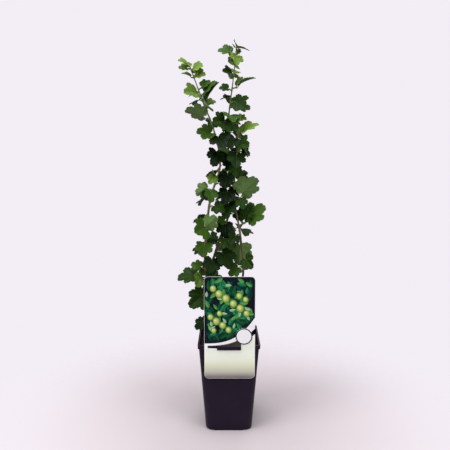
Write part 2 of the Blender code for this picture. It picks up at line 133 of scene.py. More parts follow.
def newTree(name, inputs):
    tree = bpy.data.node_groups.new(name, "GeometryNodeTree")
    for way in ("OUTPUT", "INPUT"):
        tree.interface.new_socket("Geometry", in_out=way, socket_type="NodeSocketGeometry")
    for label, kind, value in inputs:
        socket = tree.interface.new_socket(label, in_out="INPUT", socket_type="NodeSocket" + kind)
        if value is not None:
            socket.default_value = value
    return tree, addNode(tree, "NodeGroupInput").outputs, addNode(tree, "NodeGroupOutput")


def plug(tree, node, sockets):
    # each socket takes a value or another node's output
    for label, value in sockets.items():
        if isinstance(value, bpy.types.NodeSocket):
            tree.links.new(value, node.inputs[label])
        else:
            node.inputs[label].default_value = value
    return node


def addNode(tree, kind, sockets=None, **settings):
    node = tree.nodes.new(kind)
    for label, value in settings.items():
        setattr(node, label, value)
    return plug(tree, node, sockets or {})


def maths(tree, operation, first, second, kind="ShaderNodeMath"):
    return addNode(tree, kind, {0: first, 1: second}, operation=operation).outputs[0]


def mapped(tree, value, low, high, first=0.0, last=1.0, way="LINEAR"):
    return addNode(tree, "ShaderNodeMapRange", {
        "Value": value, "From Min": low, "From Max": high, "To Min": first, "To Max": last},
        interpolation_type=way).outputs["Result"]


def mixColours(tree, mask, first, second):
    first, second = ((*one, 1.0) if isinstance(one, tuple) else one for one in (first, second))
    return addNode(tree, "ShaderNodeMix", {0: mask, 6: first, 7: second}, data_type="RGBA").outputs[2]


def stretched(tree, place, along):
    # the place with its height drawn together or apart
    scale = addNode(tree, "ShaderNodeCombineXYZ", {0: 1.0, 1: 1.0, 2: along})
    return maths(tree, "MULTIPLY", place, scale.outputs[0], "ShaderNodeVectorMath")


def ownPlace(tree):
    return addNode(tree, "ShaderNodeTexCoord").outputs["Object"]


def ownHeight(tree):
    return addNode(tree, "ShaderNodeSeparateXYZ", {0: ownPlace(tree)}).outputs["Z"]


# Finishes

finishRule = {"patchRange": (0.3, 0.7), "bandShade": 0.1, "strength": 0.5}


def makeMottle():
    # soft patches and a fine grain in the piece's own space, shared by every finish
    group = bpy.data.node_groups.new("mottleAndGrain", "ShaderNodeTree")
    for label, value in (("Patch Scale", 60.0), ("Grain Scale", 900.0), ("Stretch", 1.0)):
        group.interface.new_socket(label, in_out="INPUT", socket_type="NodeSocketFloat").default_value = value
    for label in ("Patches", "Grain"):
        group.interface.new_socket(label, in_out="OUTPUT", socket_type="NodeSocketFloat")
    given, leave = addNode(group, "NodeGroupInput").outputs, addNode(group, "NodeGroupOutput")
    drawn = stretched(group, ownPlace(group), given["Stretch"])
    for label, scale, detail in (("Patches", "Patch Scale", 3.0), ("Grain", "Grain Scale", 2.0)):
        pattern = addNode(group, "ShaderNodeTexNoise", {"Detail": detail, "Vector": drawn, "Scale": given[scale]})
        plug(group, leave, {label: mapped(group, pattern.outputs["Fac"], *finishRule["patchRange"])})
    return group


mottle = makeMottle()


def makeFinish(name, look):
    # look: first and second colour, patch and grain scale, stretch, roughness range, bump height
    made = bpy.data.materials.new(name)
    made.use_nodes = True
    tree = made.node_tree
    pattern = addNode(tree, "ShaderNodeGroup", {
        "Patch Scale": look["patch"], "Grain Scale": look["grain"], "Stretch": look.get("stretch", 1.0)},
        node_tree=mottle)
    patches, grain = pattern.outputs["Patches"], pattern.outputs["Grain"]
    colour = mixColours(tree, patches, look["first"], look["second"])
    if "bands" in look:
        # a row of colours by height takes the place of the patches' colours, which only shade it
        low, high = look["bands"][0][0], look["bands"][-1][0]
        row = addNode(tree, "ShaderNodeValToRGB", {0: mapped(tree, ownHeight(tree), low, high)})
        stops = row.color_ramp.elements
        for height, shade in look["bands"]:
            at = (height - low) / (high - low)
            stop = stops[0] if at == 0 else stops.new(at)
            stop.position, stop.color = at, (*linear(*shade), 1.0)
        stops.remove(stops[-1])
        faint = maths(tree, "MULTIPLY", patches, finishRule["bandShade"])
        colour = mixColours(tree, faint, row.outputs[0], look["second"])
    if "rise" in look:
        # a third colour takes over with height
        low, high, top = look["rise"]
        wander = addNode(tree, "ShaderNodeMath", {0: patches, 1: look["wander"], 2: -look["wander"] / 2},
                         operation="MULTIPLY_ADD")
        height = maths(tree, "ADD", ownHeight(tree), wander.outputs[0])
        colour = mixColours(tree, mapped(tree, height, low, high), colour, top)
    bump = addNode(tree, "ShaderNodeBump", {
        "Strength": look.get("strength", finishRule["strength"]), "Distance": look["bump"], "Height": grain})
    plug(tree, tree.nodes["Principled BSDF"], {
        "Base Color": colour, "Roughness": mapped(tree, grain, 0, 1, *look["rough"]),
        "Normal": bump.outputs["Normal"], **look.get("sockets", {})})
    return made


# Camera, light and floor

studio = {
    "cameraPlace": (-0.0076, -0.95, 0.5265),
    "cameraTilt": 7.4,
    "focalPixels": 488.4, "pictureWidth": 450, "sensorWidth": 36,
    "air": linear(243, 237, 246),
    "airLight": 0.38,       # share of it that lights the plant
    "floorRadius": 0.7, "floorSides": 96,
    "floorSockets": {"Roughness": 0.85, "Specular IOR Level": 0.1},
    # painted shade around the pot: the floor is coloured darker near the middle and paler further out, blended by
    # distance over the floorShade range
    "floorShadedNear": linear(187, 179, 182),
    "floorFar": linear(213, 206, 211),
    "floorShade": (0.15, 0.55),
    "floorFade": (0.22, 0.60),      # the floor runs out into the pale air
    "aim": (0, 0, 0.35),
    "lights": (("leftBox", (-1.5, -1.1, 1.5), 1.2, 25), ("rightBox", (1.4, -1.2, 1.3), 1.2, 18),
               ("topBox", (-0.15, -0.25, 2.1), 1.0, 32), ("backBox", (0.6, 1.6, 1.4), 1.4, 9)),
}


def makeStudio():
    scene = bpy.context.scene
    cameraData = bpy.data.cameras.new("camera")
    cameraData.sensor_width = studio["sensorWidth"]
    cameraData.lens = studio["focalPixels"] / studio["pictureWidth"] * studio["sensorWidth"]
    camera = bpy.data.objects.new("camera", cameraData)
    camera.location = studio["cameraPlace"]
    camera.rotation_euler = (math.radians(90 - studio["cameraTilt"]), 0, 0)
    scene.collection.objects.link(camera)
    scene.camera = camera
    scene.view_settings.view_transform = "Standard"

    scene.world = bpy.data.worlds.new("air")
    scene.world.use_nodes = True
    tree = scene.world.node_tree
    seen = addNode(tree, "ShaderNodeLightPath").outputs["Is Camera Ray"]
    plug(tree, tree.nodes["Background"], {
        "Color": (*studio["air"], 1.0), "Strength": mapped(tree, seen, 0, 1, studio["airLight"])})

    for name, place, size, power in studio["lights"]:
        lamp = bpy.data.lights.new(name, "AREA")
        lamp.size, lamp.energy = size, power
        box = bpy.data.objects.new(name, lamp)
        box.location = place
        box.rotation_euler = (Vector(studio["aim"]) - box.location).to_track_quat("-Z", "Y").to_euler()
        scene.collection.objects.link(box)

    bm = bmesh.new()
    bmesh.ops.create_circle(bm, cap_ends=True, radius=studio["floorRadius"], segments=studio["floorSides"])
    finish = bpy.data.materials.new("paleFloor")
    finish.use_nodes = True
    tree = finish.node_tree
    shader = tree.nodes["Principled BSDF"]
    far = addNode(tree, "ShaderNodeVectorMath", {0: ownPlace(tree)}, operation="LENGTH").outputs["Value"]
    # painted shade: the floor's colour darkens towards the middle, where the pot stands
    shade = mapped(tree, far, *studio["floorShade"])
    plug(tree, shader, {
        "Base Color": mixColours(tree, shade, studio["floorShadedNear"], studio["floorFar"]), **studio["floorSockets"]})
    fade = addNode(tree, "ShaderNodeMixShader", {
        0: mapped(tree, far, *studio["floorFade"], way="SMOOTHSTEP"), 1: shader.outputs[0],
        2: addNode(tree, "ShaderNodeBsdfTransparent").outputs[0]})
    plug(tree, tree.nodes["Material Output"], {"Surface": fade.outputs[0]})
    addPiece("floor", meshOf(bm), finish)


makeStudio()
print("camera, light and floor stand")


# Pot

pot = {
    "rimHalf": 0.0600, "rimCorner": 0.0070, "height": 0.1800, "lipDepth": 0.0082, "lipStep": 0.0018,
    "baseHalf": 0.0458, "baseCorner": 0.0165, "wall": 0.0014, "floor": 0.0035, "edge": 0.0007,
    "cornerSteps": 14, "edgeSteps": 4,
    "reliefStart": 0.0285, "reliefHeight": 0.0018, "drainRadius": 0.0040, "drainPlace": 0.0350,
    "clipWidth": 0.0440, "clipReach": 0.0036, "clipMargin": 0.0006, "clipRound": 0.0006,
    "outerRings": (0.03, 0.08, 0.13), "innerRings": (0.12, 0.06), "innerFoot": 0.001, "toolOver": 0.01,
    "drillSides": 28, "crease": 35,
    "finish": {"first": (0.0100, 0.0046, 0.0150), "second": (0.0135, 0.0070, 0.0195), "patch": 30, "grain": 1500,
               "rough": (0.34, 0.44), "bump": 0.00004, "sockets": {"Specular IOR Level": 0.14}},
}


def squareRing(half, corner, height):
    ring = []
    for quarter in range(4):
        turn = math.pi / 2 * quarter
        across = Vector((math.cos(turn), math.sin(turn), 0))
        along = Vector((-math.sin(turn), math.cos(turn), 0))
        middle = (across + along) * (half - corner)
        for step in range(pot["cornerSteps"] + 1):
            angle = math.pi / 2 * step / pot["cornerSteps"]
            point = middle + (across * math.cos(angle) + along * math.sin(angle)) * corner
            ring.append(point + Vector((0, 0, height)))
    return ring


def wallRing(height, inset):
    share = height / pot["height"]
    half = mix(pot["baseHalf"], pot["rimHalf"] - pot["lipStep"], share)
    corner = mix(pot["baseCorner"], pot["rimCorner"] - pot["lipStep"], share)
    return squareRing(half - inset, corner - inset, height)


def loft(rings):
    count, last = len(rings[0]), len(rings) - 1
    caps = [tuple(reversed(range(count)))], [tuple(range(last * count, (last + 1) * count))]
    return meshFrom([point for ring in rings for point in ring], caps[0] + bandFaces(last, count) + caps[1])


def boxTool(low, high, roundness):
    bm = bmesh.new()
    bmesh.ops.create_cube(bm, size=1.0)
    bmesh.ops.scale(bm, vec=[b - a for a, b in zip(low, high)], verts=bm.verts)
    bmesh.ops.translate(bm, vec=[(a + b) / 2 for a, b in zip(low, high)], verts=bm.verts)
    if roundness:
        bmesh.ops.bevel(bm, geom=bm.edges, offset=roundness, segments=3, affect="EDGES", profile=0.5)
    return bm


def useTool(piece, bm, operation):
    tool = addPiece("tool", meshOf(bm))
    tool.hide_render = True
    step = piece.modifiers.new(operation, "BOOLEAN")
    step.operation, step.object = operation, tool
    return tool


def makePot():
    edge, wall, floor, rim, corner = (pot[key] for key in ("edge", "wall", "floor", "rimHalf", "rimCorner"))
    top, lipLow = pot["height"], pot["height"] - pot["lipDepth"]
    angles = [math.pi / 2 * step / pot["edgeSteps"] for step in range(pot["edgeSteps"] + 1)]
    arc = [(1 - math.sin(angle), 1 - math.cos(angle)) for angle in angles]
    # rounded foot, wall, lower and upper edge of the lip, then the inside down to the floor
    rings = [wallRing(edge * up, edge * inward) for inward, up in arc]
    rings += [wallRing(height, 0) for height in (*pot["outerRings"], lipLow - edge / 2)]
    rings.append(wallRing(lipLow, -edge / 2))
    rings += [squareRing(rim - edge / 2 * inward, corner - edge / 2 * inward, lipLow + edge / 2 * up)
              for inward, up in arc]
    rings += [squareRing(rim - edge * up, corner - edge * up, top - edge * inward) for inward, up in arc]
    rings += [wallRing(top, wall - edge / 3), wallRing(top - edge / 3, wall)]
    rings += [wallRing(height, wall) for height in (*pot["innerRings"], floor + pot["innerFoot"])]
    rings.append(wallRing(floor, wall + pot["innerFoot"]))
    made = addPiece("pot_moulded", loft(rings))
    halfClip, margin, over = pot["clipWidth"] / 2, pot["clipMargin"], pot["toolOver"]
    tools = [useTool(made, boxTool((-halfClip, -rim - pot["clipReach"], lipLow + margin),
                                   (halfClip, -rim + wall / 2, top - margin), pot["clipRound"]), "UNION")]
    for sideX in (-1, 1):
        for sideY in (-1, 1):
            (lowX, highX), (lowY, highY) = (sorted((side * pot["reliefStart"], side * (rim + over)))
                                            for side in (sideX, sideY))
            tools.append(useTool(made, boxTool((lowX, lowY, -over), (highX, highY, pot["reliefHeight"]), 0),
                                 "DIFFERENCE"))
            drill = bmesh.new()
            bmesh.ops.create_cone(drill, cap_ends=True, segments=pot["drillSides"], radius1=pot["drainRadius"],
                                  radius2=pot["drainRadius"], depth=4 * floor)
            bmesh.ops.translate(drill, vec=(sideX * pot["drainPlace"], sideY * pot["drainPlace"], 0),
                                verts=drill.verts)
            tools.append(useTool(made, drill, "DIFFERENCE"))
    made = bakePiece(made)
    for tool in tools:
        bpy.data.objects.remove(tool)
    made.data.materials.clear()
    made.data.materials.append(makeFinish("mouldedPlastic", pot["finish"]))
    made.data.shade_smooth()
    sharpenEdges(made, pot["crease"])
    declare(made, "pot_plastic", "pot")


def sharpenEdges(piece, degrees):
    bm = bmesh.new()
    bm.from_mesh(piece.data)
    for edge in bm.edges:
        edge.smooth = len(edge.link_faces) == 2 and edge.calc_face_angle(0) < math.radians(degrees)
    bm.to_mesh(piece.data)
    bm.free()


makePot()
print("pot is moulded")


# Compost

compost = {
    "top": 0.1600, "hump": 0.0022, "lumpScale": 90, "rings": 26,
    # depth of the straight rim, how far the lumps are lowered, how soon they set in, the middle's dip
    "shoulder": 0.003, "lowered": 0.0012, "setIn": 9, "dip": 0.001,
    # loose bits: how many a square metre, radius, how far they are lifted, seed
    "bits": (("compost_crumbs", 210000, 0.0014, 0.0004, 4), ("compost_chips", 14000, 0.0030, 0.0007, 9)),
    # a bit's least and greatest reach each way, how level a face must be to carry one, gap to the wall
    "slight": (0.25, 0.25, 0.12), "longest": 1.5, "great": (0.9, 0.45), "upright": 0.4, "wallGap": 1.1,
    "finish": {"first": (0.030, 0.019, 0.012), "second": (0.052, 0.034, 0.022), "patch": 160, "grain": 1400,
               "rough": (0.85, 0.98), "bump": 0.0005, "strength": 0.9},
    "crumbFinish": {"first": (0.045, 0.027, 0.016), "second": (0.098, 0.062, 0.038), "patch": 420,
                    "grain": 2200, "rough": (0.82, 0.97), "bump": 0.0003, "strength": 0.8},
}


def makeCompost():
    inset, top, steps = pot["wall"] + clearance, compost["top"], compost["rings"]
    edge = wallRing(top, inset)
    verts = wallRing(pot["floor"] + clearance, inset) + wallRing(top - compost["shoulder"], inset)
    count = len(edge)
    for step in range(steps):
        share = 1 - step / steps
        for point in edge:
            place = Vector((point.x * share, point.y * share, top))
            lump = noise.fractal(place * compost["lumpScale"], 0.6, 2.0, 4) * compost["hump"]
            height = (lump - compost["lowered"]) * min(1, (1 - share) * compost["setIn"])
            verts.append(place + Vector((0, 0, height)))
    verts.append(Vector((0, 0, top - compost["dip"])))
    last = (steps + 1) * count
    faces = [tuple(reversed(range(count)))] + bandFaces(steps + 1, count)
    faces += [(last + i, last + (i + 1) % count, len(verts) - 1) for i in range(count)]
    made = addPiece("compost_filling", meshFrom(verts, faces), makeFinish("peat", compost["finish"]))
    return declare(made, "compost", "compost")


def crumbTree():
    tree, given, leave = newTree("scatterCrumbs", (
        ("Density", "Float", 1000.0), ("Crumb Size", "Float", 0.002), ("Lift", "Float", 0.0),
        ("Reach", "Float", 0.05), ("Seed", "Int", 0), ("Finish", "Material", None)))
    normal = addNode(tree, "GeometryNodeInputNormal").outputs[0]
    facing = addNode(tree, "ShaderNodeSeparateXYZ", {0: normal}).outputs["Z"]
    upright = addNode(tree, "FunctionNodeCompare", {0: facing, 1: compost["upright"]}).outputs[0]
    # and none so near the wall that a long one would go through it
    spot = addNode(tree, "ShaderNodeSeparateXYZ", {0: addNode(tree, "GeometryNodeInputPosition").outputs[0]})
    far = [maths(tree, "ABSOLUTE", spot.outputs[axis], 0.0) for axis in "XY"]
    near = maths(tree, "LESS_THAN", maths(tree, "MAXIMUM", *far), given["Reach"])
    spread = addNode(tree, "GeometryNodeDistributePointsOnFaces", {
        "Mesh": given["Geometry"], "Selection": maths(tree, "MULTIPLY", upright, near),
        "Density": given["Density"], "Seed": given["Seed"]})
    crumb = addNode(tree, "GeometryNodeMeshIcoSphere", {"Subdivisions": 1, "Radius": given["Crumb Size"]})
    turns, sizes = (addNode(tree, "FunctionNodeRandomValue", {0: low, 1: high, "Seed": given["Seed"]},
                            data_type="FLOAT_VECTOR").outputs[0]
                    for low, high in (((0.0,) * 3, (math.tau,) * 3),
                                      (compost["slight"], (compost["longest"], *compost["great"]))))
    euler = addNode(tree, "FunctionNodeEulerToRotation", {0: turns})
    place = addNode(tree, "GeometryNodeInstanceOnPoints", {
        "Points": spread.outputs["Points"], "Instance": crumb.outputs["Mesh"], "Rotation": euler.outputs[0],
        "Scale": sizes})
    solid = addNode(tree, "GeometryNodeRealizeInstances", {"Geometry": place.outputs[0]})
    upward = addNode(tree, "ShaderNodeCombineXYZ", {"Z": given["Lift"]})
    lift = addNode(tree, "GeometryNodeSetPosition", {"Geometry": solid.outputs[0], "Offset": upward.outputs[0]})
    paint = addNode(tree, "GeometryNodeSetMaterial", {"Geometry": lift.outputs[0], "Material": given["Finish"]})
    plug(tree, leave, {0: paint.outputs[0]})
    return tree


def makeCrumbs(filling):
    tree, finish = crumbTree(), makeFinish("crumbs", compost["crumbFinish"])
    wide = max(vertex.co.x for vertex in filling.data.vertices)
    for name, density, size, lift, seed in compost["bits"]:
        piece = addPiece(name, filling.data.copy())
        addModifier(piece, tree, {
            "Density": float(density), "Crumb Size": size, "Lift": lift,
            "Reach": wide - size * compost["longest"] * compost["wallGap"], "Seed": seed, "Finish": finish})
        declare(bakePiece(piece), "compost")


makeCrumbs(makeCompost())
print("compost is filled in")


# Label card: a dark picture of pale beads and plain leaves, a shaded lower panel and a blank sticker

card = {
    "width": 0.0960, "left": -0.0468, "top": 0.3140, "bottom": 0.1150, "corner": 0.0080,
    "curveStart": 0.1845, "curveRise": 0.0514, "curvePower": 2.9,
    "stripeWidth": 0.0045, "stripeGrowth": 0.0175, "slitHeight": 0.0045, "slitGrowth": 0.0065,
    "slitEnd": 0.065, "windowHalf": 0.0230, "windowLow": 0.1708,
    "face": -0.0609, "film": 0.00003, "filmDepth": 0.9, "margin": 0.0004, "arcSteps": 8, "curveSteps": 24,
    "stickerFace": -0.0618, "stickerX": 0.0283, "stickerZ": 0.1986, "stickerRing": (0.0139, 0.0159), "stickerSides": 72,
    "board": {"first": linear(246, 245, 247), "second": linear(238, 237, 240), "patch": 25, "grain": 1800,
              "rough": (0.26, 0.34), "bump": 0.00002, "sockets": {"Specular IOR Level": 0.4}},
    "ground": {"first": linear(8, 32, 34), "second": linear(22, 10, 28), "patch": 26, "grain": 1500,
               "rough": (0.25, 0.33), "bump": 0.00002, "sockets": {"Specular IOR Level": 0.1}},
    "panel": {"first": linear(214, 218, 198), "second": linear(200, 206, 176), "patch": 40, "grain": 1500,
              "rough": (0.27, 0.35), "bump": 0.00002, "sockets": {"Specular IOR Level": 0.3},
              "bands": ((0.1145, (92, 84, 92)), (0.119, (124, 116, 118)), (0.128, (188, 187, 170)),
                        (0.138, (214, 217, 188)), (0.150, (234, 238, 220)), (0.163, (240, 244, 230)),
                        (0.178, (232, 240, 224)), (0.215, (214, 228, 200)))},
}


def cardShare(x):
    return (x - card["left"]) / card["width"]


def pictureLow(share):
    return card["curveStart"] + card["curveRise"] * share ** card["curvePower"]


def panelTop(share):
    return (pictureLow(share) - card["stripeWidth"] - card["stripeGrowth"] * share ** 3
            - card["slitHeight"] - card["slitGrowth"] * share)


def cornerArc(x, z, radius, first):
    spots = (polar(first + 90 * step / card["arcSteps"], radius) for step in range(card["arcSteps"] + 1))
    return [(x + u, z + v) for u, v in spots]


def makeFilm(name, outlines, layer, finish, step=0.0):
    # thin closed films in outline, given in the card's upright plane, each a step further out
    verts, faces = [], []
    for index, outline in enumerate(outlines):
        front = card["face"] - card["film"] * (layer + 1 + index * step)
        back = front + card["film"] * card["filmDepth"]
        area = sum(a[0] * b[1] - b[0] * a[1] for a, b in zip(outline, outline[1:] + outline[:1]))
        points = outline if area > 0 else outline[::-1]
        start, count = len(verts), len(outline)
        verts += [(x, y, z) for y in (front, back) for x, z in points]
        faces.append(tuple(range(start, start + count)))
        faces.append(tuple(range(start + 2 * count - 1, start + count - 1, -1)))
        faces += [tuple(start + corner for corner in (face[1], face[0], face[3], face[2]))
                  for face in bandFaces(1, count)]
    declare(addPiece(name, meshFrom(verts, faces, smooth=False), finish), "card_print")


def oval(x, z, wide, high):
    (c, s), sides = polar(cardPicture["beadTurn"]), cardPicture["beadSides"]
    points = []
    for step in range(sides):
        angle = math.tau * step / sides
        u, v = wide * math.cos(angle), high * math.sin(angle)
        points.append((x + u * c - v * s, z + u * s + v * c))
    return points


cardPicture = {
    # plain leaves strewn over the dark ground: how many, their length, the two halves' colours
    "strewn": ((50, (0.017, 0.026), (12, 66, 60), (6, 44, 44)), (46, (0.015, 0.023), (20, 92, 52), (10, 64, 40)),
               (34, (0.013, 0.020), (44, 138, 84), (26, 108, 66)), (20, (0.012, 0.017), (98, 168, 84), (70, 142, 68)),
               (14, (0.009, 0.013), (176, 208, 160), (134, 184, 138))),
    "slenderness": 0.44, "leafSteps": 8, "shade": 0.7, "step": 0.03, "margin": 0.0010, "seed": 31,
    # x, z and size of each bead, in two slanting rows
    "beads": ((-0.030, 0.291, 0.0070), (-0.019, 0.281, 0.0082), (-0.006, 0.272, 0.0086), (0.008, 0.262, 0.0080),
              (0.021, 0.253, 0.0084), (0.033, 0.243, 0.0070), (-0.035, 0.236, 0.0066), (-0.024, 0.228, 0.0080),
              (-0.012, 0.220, 0.0074), (-0.001, 0.211, 0.0066), (0.019, 0.277, 0.0068), (0.031, 0.270, 0.0062),
              (-0.018, 0.243, 0.0060), (-0.029, 0.210, 0.0058)),
    "beadShade": 0.88, "beadStep": 0.3, "beadWidth": 0.9, "beadTurn": 12, "beadSides": 26, "light": (-0.6, 0.7),
    # each bead is nested ovals: share of its size, shift towards the light, colour
    "shells": ((1.00, 0.00, (92, 120, 44)), (0.86, 0.05, (140, 166, 72)), (0.66, 0.12, (178, 198, 104)),
               (0.40, 0.24, (204, 218, 140)), (0.16, 0.42, (238, 244, 212))),
    "ink": {"patch": 300, "grain": 1500, "rough": (0.25, 0.33), "bump": 0.00002,
            "sockets": {"Specular IOR Level": 0.12}},
    "ringInk": {"first": linear(16, 12, 22), "second": linear(24, 20, 32)},
}


def leafHalf(x, z, bearing, length, side):
    (c, s), points = polar(bearing), [(x, z)]
    for step in range(1, cardPicture["leafSteps"]):
        along = step / cardPicture["leafSteps"]
        across = side * length * cardPicture["slenderness"] / 2 * math.sin(math.pi * along ** 0.8) ** 0.9
        points.append((x + length * along * c - across * s, z + length * along * s + across * c))
    return points + [(x + length * c, z + length * s)]


def onPicture(points):
    gap, corner, top = cardPicture["margin"], card["corner"], card["top"]
    left, right = card["left"] + gap, card["left"] + card["width"] - gap
    for x, z in points:
        if not left < x < right or not pictureLow(cardShare(x)) + gap < z < top - gap:
            return False
        fromCorner = (max(left - gap + corner - x, x - right - gap + corner, 0), max(z - top + corner, 0))
        if math.hypot(*fromCorner) > corner - gap:
            return False
    return True


def makeCard():
    left, right = card["left"], card["left"] + card["width"]
    inset, corner = card["margin"], card["corner"] - card["margin"]
    inner = [mix(left + inset, right - inset, step / card["curveSteps"]) for step in range(card["curveSteps"] + 1)]
    high, low = card["top"] - card["corner"], card["bottom"] + card["corner"]
    upper = cornerArc(right - card["corner"], high, corner, 0) + cornerArc(left + card["corner"], high, corner, 90)
    upper += [(x, pictureLow(cardShare(x))) for x in inner]
    lower = cornerArc(left + card["corner"], low, corner, 180) + cornerArc(right - card["corner"], low, corner, 270)
    # the panel's upper edge runs under the slit, round the rim's window and on to the slit's end
    reach, slitEnd = card["windowHalf"] + inset, left + card["width"] * card["slitEnd"]
    edge = [(x, panelTop(cardShare(x)) - inset) for x in reversed(inner) if abs(x) > reach]
    lower += [(x, z) for x, z in edge if x > 0]
    lower += [(reach, card["windowLow"] - inset), (-reach, card["windowLow"] - inset)]
    lower += [(x, z) for x, z in edge if slitEnd < x < 0]
    lower += [(left + inset, panelTop(card["slitEnd"]) - inset)]
    board = makeFinish("cardBoard", card["board"])
    for name in ("label_card", "label_badge"):
        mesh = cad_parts[name].data
        mesh.materials.clear()
        mesh.materials.append(board)
    makeFilm("card_picture", [upper], 0, makeFinish("pictureGround", card["ground"]))
    makeFilm("card_panel", [lower], 0, makeFinish("panelShade", card["panel"]))

    look, dice, layer = cardPicture["ink"], random.Random(cardPicture["seed"]), 1.0
    for index, (count, lengths, *colours) in enumerate(cardPicture["strewn"]):
        halves = ([], [])
        while len(halves[0]) < count:
            x = mix(left, right, dice.random())
            z, bearing = mix(card["curveStart"], card["top"], dice.random()), dice.uniform(0, 360)
            length = dice.uniform(*lengths)
            pair = [leafHalf(x, z, bearing, length, side) for side in (1, -1)]
            if onPicture(pair[0] + pair[1]):
                for half, one in zip(halves, pair):
                    half.append(one)
        for side, (half, colour) in enumerate(zip(halves, colours)):
            finish = makeFinish("printedLeaf%d%d" % (index, side), {**look, **twoTones(colour, cardPicture["shade"])})
            makeFilm("card_leaves_%d%d" % (index, side), half, layer, finish, cardPicture["step"])
        layer += cardPicture["step"] * count
    (lightX, lightZ), wide = cardPicture["light"], cardPicture["beadWidth"]
    for index, (share, shift, colour) in enumerate(cardPicture["shells"]):
        finish = makeFinish("bead%d" % index, {**look, **twoTones(colour, cardPicture["beadShade"])})
        makeFilm("card_beads_%d" % index, [
            oval(x + size * shift * lightX, z + size * shift * lightZ, size * share * wide, size * share)
            for x, z, size in cardPicture["beads"]], layer + index * cardPicture["beadStep"], finish)
    makeStickerRing(makeFinish("stickerInk", {**look, **cardPicture["ringInk"]}))


def makeStickerRing(finish):
    sides, verts = card["stickerSides"], []
    low, high = card["stickerRing"]
    front, back = card["stickerFace"] - card["film"], card["stickerFace"] - card["film"] * (1 - card["filmDepth"])
    for radius, y in ((low, front), (high, front), (high, back), (low, back)):
        for step in range(sides):
            angle = math.tau * step / sides
            verts.append((card["stickerX"] + radius * math.cos(angle), y,
                          card["stickerZ"] + radius * math.sin(angle)))
    faces = [tuple(corner % len(verts) for corner in face)[::-1] for face in bandFaces(4, sides)]
    declare(addPiece("sticker_ring", meshFrom(verts, faces, smooth=False), finish), "card_white")


makeCard()
print("card is printed")


# Limbs and leaves are set out by the source's rule

limbs = {
    "main_stem": (
        None,
        ((-0.004, 0.002, 0.1603), (-0.014, -0.002, 0.206), (-0.043, -0.012, 0.305),
         (-0.045, -0.010, 0.373), (-0.036, -0.006, 0.454), (-0.017, 0.000, 0.520),
         (-0.029, -0.002, 0.586), (-0.048, -0.006, 0.635), (-0.073, -0.010, 0.702)),
        (0.0037, 0.0009)),
    "centre_stem": (
        ("main_stem", 0.312, 40),
        ((-0.030, -0.003, 0.338), (-0.018, 0.007, 0.375), (0.000, 0.012, 0.425), (0.002, 0.010, 0.500),
         (-0.002, 0.004, 0.590), (0.008, 0.002, 0.681), (0.014, 0.001, 0.734)),
        (0.0025, 0.0009)),
    "right_stem": (
        ("main_stem", 0.190, 25),
        ((0.008, 0.005, 0.214), (0.028, 0.000, 0.300), (0.023, -0.002, 0.379), (0.010, -0.003, 0.462),
         (0.016, -0.004, 0.549), (0.017, -0.004, 0.604)),
        (0.0028, 0.0010)),
}
limbRule = {"steps": 3, "footHeight": 0.0030, "flareHeight": 0.012, "flareGain": 0.85, "forkSeat": 0.80}

